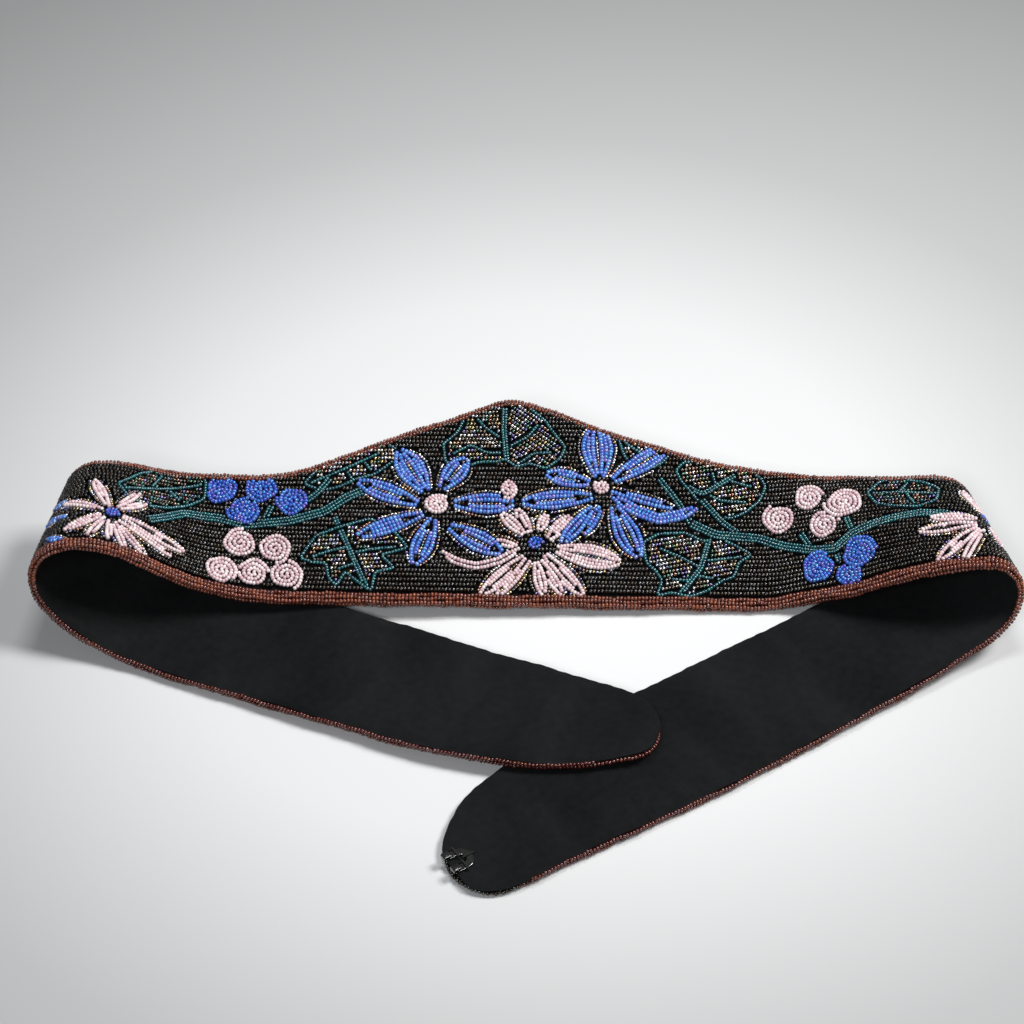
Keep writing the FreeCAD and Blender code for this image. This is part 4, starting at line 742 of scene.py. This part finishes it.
def cloth(name, dark, light, weave, bump, rough=0.86):
    m, nt, p = principled(name)
    co = nt.nodes.new("ShaderNodeTexCoord")
    noise = nt.nodes.new("ShaderNodeTexNoise")
    noise.inputs["Scale"].default_value = 90.0
    noise.inputs["Detail"].default_value = 6.0
    ramp = nt.nodes.new("ShaderNodeValToRGB")
    ramp.color_ramp.elements[0].position = 0.35
    ramp.color_ramp.elements[0].color = (*dark, 1)
    ramp.color_ramp.elements[1].position = 0.68
    ramp.color_ramp.elements[1].color = (*light, 1)
    nt.links.new(co.outputs["UV"], noise.inputs["Vector"])
    noise.inputs["Scale"].default_value = 9.0
    # broad noise stretched across the band into soft bands some 17 mm apart: partly random tone in the cloth, partly
    # painted shade of soft folds
    broad_tone_and_fold_shade = nt.nodes.new("ShaderNodeTexNoise")
    broad_tone_and_fold_shade.inputs["Scale"].default_value = 1.0
    broad_tone_and_fold_shade.inputs["Detail"].default_value = 3.0
    stretch = nt.nodes.new("ShaderNodeMapping")
    stretch.inputs["Scale"].default_value = (1.15, 0.42, 1.0)
    nt.links.new(co.outputs["UV"], stretch.inputs["Vector"])
    nt.links.new(stretch.outputs["Vector"], broad_tone_and_fold_shade.inputs["Vector"])
    blend = nt.nodes.new("ShaderNodeMix")
    blend.data_type = "FLOAT"
    blend.inputs["Factor"].default_value = 0.68
    nt.links.new(noise.outputs["Fac"], blend.inputs["A"])
    nt.links.new(broad_tone_and_fold_shade.outputs["Fac"], blend.inputs["B"])
    nt.links.new(blend.outputs["Result"], ramp.inputs["Fac"])
    warp = nt.nodes.new("ShaderNodeTexWave")
    weft = nt.nodes.new("ShaderNodeTexWave")
    for w, d in ((warp, "X"), (weft, "Y")):
        w.wave_type = "BANDS"
        w.bands_direction = d
        w.inputs["Scale"].default_value = weave
        w.inputs["Distortion"].default_value = 0.6
        w.inputs["Detail"].default_value = 1.0
        nt.links.new(co.outputs["UV"], w.inputs["Vector"])
    mix = nt.nodes.new("ShaderNodeMath")
    mix.operation = "MAXIMUM"
    nt.links.new(warp.outputs["Fac"], mix.inputs[0])
    nt.links.new(weft.outputs["Fac"], mix.inputs[1])
    shade = nt.nodes.new("ShaderNodeMix")
    shade.data_type = "RGBA"
    shade.blend_type = "MULTIPLY"
    shade.inputs["Factor"].default_value = 0.35
    nt.links.new(ramp.outputs["Color"], shade.inputs["A"])
    nt.links.new(mix.outputs["Value"], shade.inputs["B"])
    nt.links.new(shade.outputs["Result"], p.inputs["Base Color"])
    b = nt.nodes.new("ShaderNodeBump")
    b.inputs["Strength"].default_value = bump
    b.inputs["Distance"].default_value = 0.00012
    nt.links.new(mix.outputs["Value"], b.inputs["Height"])
    nt.links.new(b.outputs["Normal"], p.inputs["Normal"])
    p.inputs["Roughness"].default_value = rough
    p.inputs["Specular IOR Level"].default_value = 0.10
    p.inputs["Sheen Weight"].default_value = 0.03
    p.inputs["Sheen Roughness"].default_value = 0.5
    p.inputs["Sheen Tint"].default_value = (0.7, 0.75, 0.8, 1)
    return m


LINING = cloth("lining_cloth", (0.0034, 0.0037, 0.0041), (0.0135, 0.0143, 0.0152), 70.0, 0.6)
UNDER = cloth("interlining_cloth", (0.003, 0.003, 0.003), (0.007, 0.0065, 0.0065), 60.0, 0.5)


def metal(name):
    m, nt, p = principled(name)
    co = nt.nodes.new("ShaderNodeTexCoord")
    no = nt.nodes.new("ShaderNodeTexNoise")
    no.inputs["Scale"].default_value = 900.0
    no.inputs["Detail"].default_value = 4.0
    mr = nt.nodes.new("ShaderNodeMapRange")
    mr.inputs["To Min"].default_value = 0.07
    mr.inputs["To Max"].default_value = 0.15
    ramp = nt.nodes.new("ShaderNodeValToRGB")
    ramp.color_ramp.elements[0].color = (0.16, 0.158, 0.152, 1)
    ramp.color_ramp.elements[1].color = (0.30, 0.295, 0.285, 1)
    nt.links.new(co.outputs["Object"], no.inputs["Vector"])
    nt.links.new(no.outputs["Fac"], mr.inputs["Value"])
    nt.links.new(no.outputs["Fac"], ramp.inputs["Fac"])
    nt.links.new(mr.outputs["Result"], p.inputs["Roughness"])
    nt.links.new(ramp.outputs["Color"], p.inputs["Base Color"])
    p.inputs["Metallic"].default_value = 1.0
    return m


def thread(name):
    m, nt, p = principled(name)
    co = nt.nodes.new("ShaderNodeTexCoord")
    wv = nt.nodes.new("ShaderNodeTexWave")
    wv.inputs["Scale"].default_value = 900.0
    wv.bands_direction = "DIAGONAL"
    ramp = nt.nodes.new("ShaderNodeValToRGB")
    ramp.color_ramp.elements[0].color = (0.003, 0.003, 0.003, 1)
    ramp.color_ramp.elements[1].color = (0.012, 0.010, 0.009, 1)
    nt.links.new(co.outputs["Object"], wv.inputs["Vector"])
    nt.links.new(wv.outputs["Fac"], ramp.inputs["Fac"])
    nt.links.new(ramp.outputs["Color"], p.inputs["Base Color"])
    b = nt.nodes.new("ShaderNodeBump")
    b.inputs["Distance"].default_value = 0.0001
    nt.links.new(wv.outputs["Fac"], b.inputs["Height"])
    nt.links.new(b.outputs["Normal"], p.inputs["Normal"])
    p.inputs["Roughness"].default_value = 0.7
    return m


NICKEL, THREAD = metal("nickel_plate"), thread("sewing_thread")

# ------------------------------------------------------------------ bead meshes
SEG = 8
PROFILE = np.array([(-0.5, 0.40), (-0.40, 0.82), (-0.14, 1.0), (0.14, 1.0), (0.40, 0.82), (0.5, 0.40)])
RINGS = len(PROFILE)
_a = np.arange(SEG) * 2 * math.pi / SEG
T_X = np.repeat(PROFILE[:, 0], SEG)
T_Y = (PROFILE[:, 1][:, None] * np.cos(_a)[None]).ravel() * 0.5
T_Z = (PROFILE[:, 1][:, None] * np.sin(_a)[None]).ravel() * 0.5
QUADS = np.array([(r * SEG + i, r * SEG + (i + 1) % SEG, (r + 1) * SEG + (i + 1) % SEG, (r + 1) * SEG + i)
                  for r in range(RINGS - 1) for i in range(SEG)])
CAP0 = np.arange(SEG)[::-1]
CAP1 = np.arange(SEG) + (RINGS - 1) * SEG
NV = RINGS * SEG
TRIS = len(QUADS) * 2 + 2 * (SEG - 2)
MAX_BEADS = 190000 // TRIS


def bead_mesh(name, beads):
    a = np.array([b[:6] for b in beads], float)
    s, v, n, ang, ln, dia = a.T
    e = 0.25
    P, N = surf(s, v, n)
    A, _ = surf(s + e * np.cos(ang), v + e * np.sin(ang), n)
    B, _ = surf(s - e * np.cos(ang), v - e * np.sin(ang), n)
    X = unit(A - B)
    N = unit(N - X * (N * X).sum(1, keepdims=True))
    X = unit(X + N * rng.normal(0, 0.05, (len(s), 1)))
    Y = unit(np.cross(N, X))
    Z = np.cross(X, Y)
    roll = rng.uniform(0, 2 * math.pi / SEG, len(s))
    Y, Z = (Y * np.cos(roll)[:, None] + Z * np.sin(roll)[:, None], Z * np.cos(roll)[:, None] - Y * np.sin(roll)[:, None])
    co = (P[:, None, :] + X[:, None, :] * (T_X[None] * ln[:, None])[..., None]
          + Y[:, None, :] * (T_Y[None] * dia[:, None])[..., None] + Z[:, None, :] * (T_Z[None] * dia[:, None])[..., None])
    co = co.reshape(-1, 3) * 0.001
    k = len(s)
    off = (np.arange(k) * NV)[:, None]
    per = np.concatenate([QUADS.ravel(), CAP0, CAP1])
    loops = (off + per[None]).ravel()
    sizes = np.concatenate([np.full(len(QUADS), 4), [SEG, SEG]])
    starts = np.concatenate([[0], np.cumsum(sizes)[:-1]])
    poly_start = (np.arange(k)[:, None] * len(per) + starts[None]).ravel()
    kinds = sorted({b[6] for b in beads})
    idx = np.array([kinds.index(b[6]) for b in beads])
    me = bpy.data.meshes.new(name)
    me.vertices.add(len(co))
    me.vertices.foreach_set("co", co.astype(np.float32).ravel())
    me.loops.add(len(loops))
    me.loops.foreach_set("vertex_index", loops.astype(np.int32))
    me.polygons.add(len(poly_start))
    me.polygons.foreach_set("loop_start", poly_start.astype(np.int32))
    for kind in kinds:
        me.materials.append(MATS[kind])
    me.polygons.foreach_set("material_index", np.repeat(idx, len(sizes)).astype(np.int32))
    me.update(calc_edges=True)
    me.polygons.foreach_set("use_smooth", np.ones(len(poly_start), bool))
    me.update()
    ob = bpy.data.objects.new(name, me)
    scene.collection.objects.link(ob)
    return ob


_mid = arr(W / 2)
HL, _ = surf(arr(LEFT_HINGE), _mid)
HR, _ = surf(arr(RIGHT_HINGE), _mid)


def attach(ob, body):
    if body == "left_tail":
        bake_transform(ob)
    elif body == "hook_end":
        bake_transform(ob)
    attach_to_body(ob, body) if body == "band" else None


def emit(name, beads, body, nodes=()):
    if not beads:
        return
    beads = sorted(beads, key=lambda b: b[0])
    parts = int(math.ceil(len(beads) / MAX_BEADS))
    step = int(math.ceil(len(beads) / parts))
    for i in range(parts):
        nm = name if parts == 1 else "%s_%d" % (name, i + 1)
        ob = bead_mesh(nm, beads[i * step:(i + 1) * step])
        attach(ob, body)
        if nodes:
            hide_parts(*nodes)


ZONES = [("left_tail", -400, LEFT_HINGE, "left_tail"), ("left_turn", LEFT_HINGE, -58, "band"), ("front", -58, 58, "band"),
         ("right_turn", 58, 215, "band"), ("right_tail", 215, RIGHT_HINGE, "band"), ("hook_end", RIGHT_HINGE, 400, "hook_end")]
EDGES = {"left_tail": ["left_tail_edging"], "hook_end": ["hook_end_edging"]}
PANELS = ["flank", "roll_upper", "roll_outer", "roll_lower", "run"]
for zone, a, b, body in ZONES:
    emit("ground_beads_" + zone, [q for q in BEADS["ground"] if a <= q[0] < b], body,
         [zone + "_beadwork_" + k for k in PANELS] if zone.endswith("_turn") else [zone + "_beadwork"])
    emit("edge_beads_" + zone, [q for q in BEADS["edging"] if a <= q[0] < b], body,
         EDGES.get(zone, [zone + "_edging_low", zone + "_edging_high"]))
for key, slot_name in (("blue_flower_left", "blue_beads"), ("blue_flower_left_centre", "pink_beads"), ("blue_flower_right", "blue_beads"),
                       ("blue_flower_right_centre", "pink_beads"), ("pink_flower", "pink_beads"), ("pink_flower_heart", "blue_beads"),
                       ("pink_bud", "pink_beads"), ("pink_berries_left", "pink_beads"), ("blue_berries_left", "blue_beads"),
                       ("pink_berries_right", "pink_beads"), ("blue_berries_right", "blue_beads"), ("turn_flower_left", "pink_beads"),
                       ("turn_flower_left_heart", "blue_beads"), ("turn_flower_right", "pink_beads"),
                       ("turn_flower_right_heart", "blue_beads"), ("stem_left", "teal_beads"), ("stem_right", "teal_beads")):
    emit(key + "_beads", BEADS.get(key, []), "band", [key])
emit("turn_flower_left_blue_beads", BEADS.get("turn_flower_left_blue", []), "band")
for key in LEAVES:
    emit(key + "_line_beads", BEADS.get(key + "_line", []), "band", [key])
emit("iris_fill_beads", BEADS.get("iris_fill", []), "band")
emit("halo_beads", BEADS.get("halo", []), "band")


# ------------------------------------------------------------------ lining and interlining
def half_width(s):
    """lower and upper outline at s, from the flat outline"""
    lo = np.full(s.shape, 1e9)
    hi = np.full(s.shape, -1e9)
    q = np.roll(OUT, -1, 0)
    for i, x in enumerate(s):
        c = ((OUT[:, 0] <= x) != (q[:, 0] <= x))
        a, b = OUT[c], q[c]
        if len(a):
            y = a[:, 1] + (x - a[:, 0]) * (b[:, 1] - a[:, 1]) / np.where(abs(b[:, 0] - a[:, 0]) < 1e-9, 1e-9, b[:, 0] - a[:, 0])
            lo[i], hi[i] = y.min(), y.max()
    return lo, hi


def wrinkle(s, v):
    w = 0.10 * np.sin(s * 0.42 + 1.3 * np.sin(v * 0.16)) * np.exp(-((v - 6) / 8.0) ** 2)
    w += 0.10 * np.sin(s * 0.36 + 2.0 + 1.1 * np.sin(v * 0.14)) * np.exp(-((v - 32) / 7.0) ** 2)
    w += 0.07 * np.sin(s * 0.11 + v * 0.22) * np.sin(v * 0.31 - s * 0.045)
    w += 0.22 * np.sin(s * 0.17 + 0.9 * np.sin(v * 0.09)) * np.sin(s * 0.041 + 0.5)
    w += 0.16 * np.sin(s * 0.33 + 0.6 * np.sin(v * 0.12)) * (np.exp(-((s + 96) / 30.0) ** 2) + 0.7 * np.exp(-((s - 104) / 26.0) ** 2))
    return w


def cloth_mesh(name, s_lo, s_hi, inset, nodes, mat, body, top, bottom, crease, edge_lift=0.0):
    """closed thin section between two heights, following the outline at a given inset"""
    ss = np.arange(s_lo, s_hi + 0.01, 1.0)
    ss[-1] = s_hi
    lo, hi = half_width(ss)
    lo, hi = lo + inset[0], hi - inset[1]
    if inset[1] < 0.5:
        lo = lo + (0.14 - inset[0]) * np.clip((ss - 285) / 5.0, 0, 1)
        hi = hi + 0.10 * np.sin(ss * 0.9) * np.sin(ss * 0.23 + 1.0) + 0.07 * np.sin(ss * 1.7 + 0.4)
    wide = hi - lo > 1.5
    ss, lo, hi = ss[wide], lo[wide], hi[wide]
    NVV = 22
    f = 0.5 - 0.5 * np.cos(np.linspace(0, math.pi, NVV))
    S = np.repeat(ss[:, None], NVV, 1)
    Vv = lo[:, None] + (hi - lo)[:, None] * f[None]
    Nb = np.minimum(bottom + crease * wrinkle(S, Vv), top - 0.06)
    d = np.minimum(Vv - lo[:, None], hi[:, None] - Vv)
    Nb = Nb + edge_lift * np.exp(-(d / 0.9) ** 2)
    Pt, _ = surf(S.ravel(), Vv.ravel(), np.full(S.size, top))
    Pb, _ = surf(S.ravel(), Vv.ravel(), Nb.ravel())
    ns = len(ss)
    verts = np.vstack([Pt, Pb]) * 0.001
    F = []
    o = ns * NVV
    for i in range(ns - 1):
        for j in range(NVV - 1):
            a, b, c, dd = i * NVV + j, (i + 1) * NVV + j, (i + 1) * NVV + j + 1, i * NVV + j + 1
            F.append((a, b, c, dd))
            F.append((o + a, o + dd, o + c, o + b))
        a, b = i * NVV, (i + 1) * NVV
        F.append((a, o + a, o + b, b))
        a, b = i * NVV + NVV - 1, (i + 1) * NVV + NVV - 1
        F.append((b, o + b, o + a, a))
    for j in range(NVV - 1):
        F.append((j, j + 1, o + j + 1, o + j))
        a = (ns - 1) * NVV + j
        F.append((a + 1, a, o + a, o + a + 1))
    me = bpy.data.meshes.new(name)
    me.from_pydata([tuple(x) for x in verts], [], F)
    uv = me.uv_layers.new(name="flat")
    flat = np.concatenate([np.stack([S.ravel(), Vv.ravel()], 1)] * 2) / 20.0
    li = np.zeros(len(me.loops), np.int32)
    me.loops.foreach_get("vertex_index", li)
    uv.data.foreach_set("uv", flat[li].astype(np.float32).ravel())
    me.materials.append(mat)
    # faces at the two cut ends shade flat, and their rims are sharp, so that the cloth shades straight through a cut
    smooth = np.ones(len(me.polygons), bool)
    smooth[-2 * (NVV - 1):] = False
    me.polygons.foreach_set("use_smooth", smooth)
    rim = set()
    for p in list(me.polygons)[-2 * (NVV - 1):]:
        rim.update(tuple(sorted(k)) for k in p.edge_keys)
    sharp = me.attributes.new("sharp_edge", "BOOLEAN", "EDGE")
    sharp.data.foreach_set("value", np.array([tuple(sorted(e.vertices)) in rim for e in me.edges], bool))
    me.update()
    ob = bpy.data.objects.new(name, me)
    scene.collection.objects.link(ob)
    attach(ob, body)
    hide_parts(*nodes)
    return ob, float((hi - lo).mean()), float(ss[-1] - ss[0])


for name, a, b, body, zones in (("left_tail", -306.2, LEFT_HINGE, "left_tail", ["left_tail"]),
                                ("band", LEFT_HINGE, RIGHT_HINGE, "band", ["left_turn", "front", "right_turn", "right_tail"]),
                                ("hook_end", RIGHT_HINGE, 304.3, "hook_end", ["hook_end"])):
    cloth_mesh("interlining_" + name, a, b, (0.9, 0.9), [z + "_stiffener" for z in zones], UNDER, body,
               0.02, -0.42, 0.0)
    cloth_mesh("lining_" + name, a, b, (0.85, 0.12), [z + "_lining" for z in zones], LINING, body,
               -0.44, -0.86, 1.5, edge_lift=0.28)

# ------------------------------------------------------------------ the hook: the same plate with worn, rounded edges
def slab(poly, thick, rnd):
    """closed solid on a counter-clockwise outline: rings of the outline, drawn in at the rounded edges"""
    q = np.asarray(poly, float)
    t1, t2 = unit(q - np.roll(q, 1, 0)), unit(np.roll(q, -1, 0) - q)
    n1, n2 = np.stack([-t1[:, 1], t1[:, 0]], 1), np.stack([-t2[:, 1], t2[:, 0]], 1)
    m = unit(n1 + n2)
    m = m / np.maximum((m * n1).sum(1, keepdims=True), 0.5)
    levels = [(rnd * (1 - math.sin(a)), rnd * (1 - math.cos(a))) for a in np.linspace(0, math.pi / 2, 5)]
    levels += [(d, thick - z) for d, z in levels[::-1]]
    k = len(q)
    pts = np.vstack([np.hstack([q + m * d, np.full((k, 1), z)]) for d, z in levels])
    faces = [tuple(range(k))[::-1], tuple((len(levels) - 1) * k + i for i in range(k))]
    for r in range(len(levels) - 1):
        for i in range(k):
            j = (i + 1) % k
            faces.append((r * k + i, r * k + j, (r + 1) * k + j, (r + 1) * k + i))
    return pts, faces


HW, HP, HS, HG, NOSE = 6.4, 0.45, 2.6, 0.5, 3.4
R1, R2, XB = HW / 2, HS / 2, NOSE - 0.2
arc = np.linspace(math.pi / 2, 3 * math.pi / 2, 25)
ucurve = ([(XB, R1)] + [(R1 * math.cos(a), R1 * math.sin(a)) for a in arc] + [(XB, -R1), (XB, -R2)]
          + [(R2 * math.cos(a), R2 * math.sin(a)) for a in arc[::-1]] + [(XB, R2)])
ro, ri, zc = HP + HG / 2, HG / 2, HP + HG / 2
bow = np.linspace(-math.pi / 2, math.pi / 2, 17)
ccurve = ([(2.2, 0.0)] + [(XB + ro * math.cos(a), zc + ro * math.sin(a)) for a in bow] + [(1.9, zc + ro), (1.9, zc + ri)]
          + [(XB + ri * math.cos(a), zc + ri * math.sin(a)) for a in bow[::-1]] + [(2.2, HP)])
hv, hf = [], []
for kind, y0 in (("plate", 0), ("bend", R2), ("bend", -R1)):
    pts, faces = slab(ucurve, HP, 0.13) if kind == "plate" else slab(ccurve, R1 - R2, 0.11)
    if kind == "bend":
        pts = np.stack([pts[:, 0], y0 + pts[:, 2], pts[:, 1]], 1)
        faces = [f[::-1] for f in faces]
    hf += [tuple(i + len(hv) for i in f) for f in faces]
    hv += [tuple(x) for x in pts]
hv = np.array(hv)
HA, _ = surf(arr(300.2), arr(14.6), arr(-0.97))
up = arr(0.0, 0.0, 1.0)
hv = (HA[0][None] + hv[:, :1] * tR[None] + hv[:, 1:2] * np.cross(up, tR)[None] + hv[:, 2:] * up[None]) * 0.001
me = bpy.data.meshes.new("hook_plate_rounded")
me.from_pydata([tuple(x) for x in hv], [], hf)
me.materials.append(NICKEL)
me.polygons.foreach_set("use_smooth", np.ones(len(me.polygons), bool))
me.set_sharp_from_angle(angle=math.radians(50))
for pl in me.polygons:
    if len(pl.vertices) > 4:
        pl.use_smooth = False
me.update()
hook_ob = bpy.data.objects.new("hook_plate_rounded", me)
scene.collection.objects.link(hook_ob)
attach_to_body(hook_ob, "hook_end")
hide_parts("closure_hook")

# ------------------------------------------------------------------ metal parts that keep their CAD shape
for node, mat in (("closure_eye_bar", NICKEL), ("hook_stitches", THREAD), ("eye_stitches", THREAD)):
    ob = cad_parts[node]
    if not ob.data.materials:
        ob.data.materials.append(mat)
    for sl in ob.material_slots:
        sl.material = mat

# ------------------------------------------------------------------ floor, light, camera
bpy.ops.mesh.primitive_plane_add(size=6.0, location=(0, 0, -0.0001))
floor = bpy.context.object
floor.name = "floor"
# the floor's colour carries painted light: light in the middle and darker outwards, a painted pool of light with a
# painted vignette round it
m, nt, p = principled("paper_painted_light_pool")
co = nt.nodes.new("ShaderNodeTexCoord")
mp = nt.nodes.new("ShaderNodeMapping")
mp.inputs["Location"].default_value = (0.0, -0.04, 0)
sep = nt.nodes.new("ShaderNodeVectorMath")
sep.operation = "LENGTH"
ramp = nt.nodes.new("ShaderNodeValToRGB")
ramp.color_ramp.interpolation = "EASE"
ramp.color_ramp.interpolation = "LINEAR"
# painted light: floor brightness by distance from a point just in front of the middle
PAINTED_LIGHT_POOL_STOPS = ((0.03, 0.78), (0.10, 0.70), (0.15, 0.54), (0.18, 0.45), (0.245, 0.35), (0.30, 0.28), (0.38, 0.33), (0.60, 0.46))
for k, (pos, v) in enumerate(PAINTED_LIGHT_POOL_STOPS):
    if k > 1:
        ramp.color_ramp.elements.new(1.0)
    e = ramp.color_ramp.elements[len(ramp.color_ramp.elements) - 1 if k else 0]
    e.position = pos
    e.color = (v * 0.99, v, v * 1.005, 1)
nt.links.new(co.outputs["Object"], mp.inputs["Vector"])
nt.links.new(mp.outputs["Vector"], sep.inputs[0])
nt.links.new(sep.outputs["Value"], ramp.inputs["Fac"])
nt.links.new(ramp.outputs["Color"], p.inputs["Base Color"])
p.inputs["Roughness"].default_value = 1.0
p.inputs["Specular IOR Level"].default_value = 0.0
floor.data.materials.append(m)

world = bpy.data.worlds.new("studio")
scene.world = world
world.use_nodes = True
bg = world.node_tree.nodes["Background"]
bg.inputs["Color"].default_value = (0.93, 0.95, 1.0, 1)
bg.inputs["Strength"].default_value = 0.11


def area(name, loc, target, size, power, color=(1, 1, 1)):
    d = bpy.data.lights.new(name, "AREA")
    d.shape = "RECTANGLE"
    d.size, d.size_y = size
    d.energy = power
    d.color = color
    o = bpy.data.objects.new(name, d)
    scene.collection.objects.link(o)
    o.location = loc
    v = np.array(target, float) - np.array(loc, float)
    from mathutils import Vector
    o.rotation_euler = Vector(v).to_track_quat("-Z", "Y").to_euler()
    return o


area("key", (0.78, 0.18, 1.0), (0, 0, 0), (0.40, 0.40), 14.5, (1.0, 0.99, 0.97))
area("top", (0.05, 0.38, 1.25), (0, 0.03, 0), (0.4, 0.3), 5.5, (0.97, 0.98, 1.0))
area("front", (-0.25, -0.95, 0.95), (0, 0, 0), (0.3, 0.3), 6.0, (0.97, 0.98, 1.0))

cam = bpy.data.cameras.new("camera")
cam.lens = 106.47
cam.sensor_width = 36.0
cam.clip_start, cam.clip_end = 0.05, 20
cam_ob = bpy.data.objects.new("camera", cam)
scene.collection.objects.link(cam_ob)
cam_ob.location = (-0.00402, -0.52925, 0.56409)
cam_ob.rotation_euler = (math.radians(45.96), 0, 0)
scene.camera = cam_ob
scene.view_settings.view_transform = "Standard"
scene.view_settings.look = "None"

print("BEADS", sum(len(b) for b in BEADS.values()), {k: len(b) for k, b in BEADS.items()})
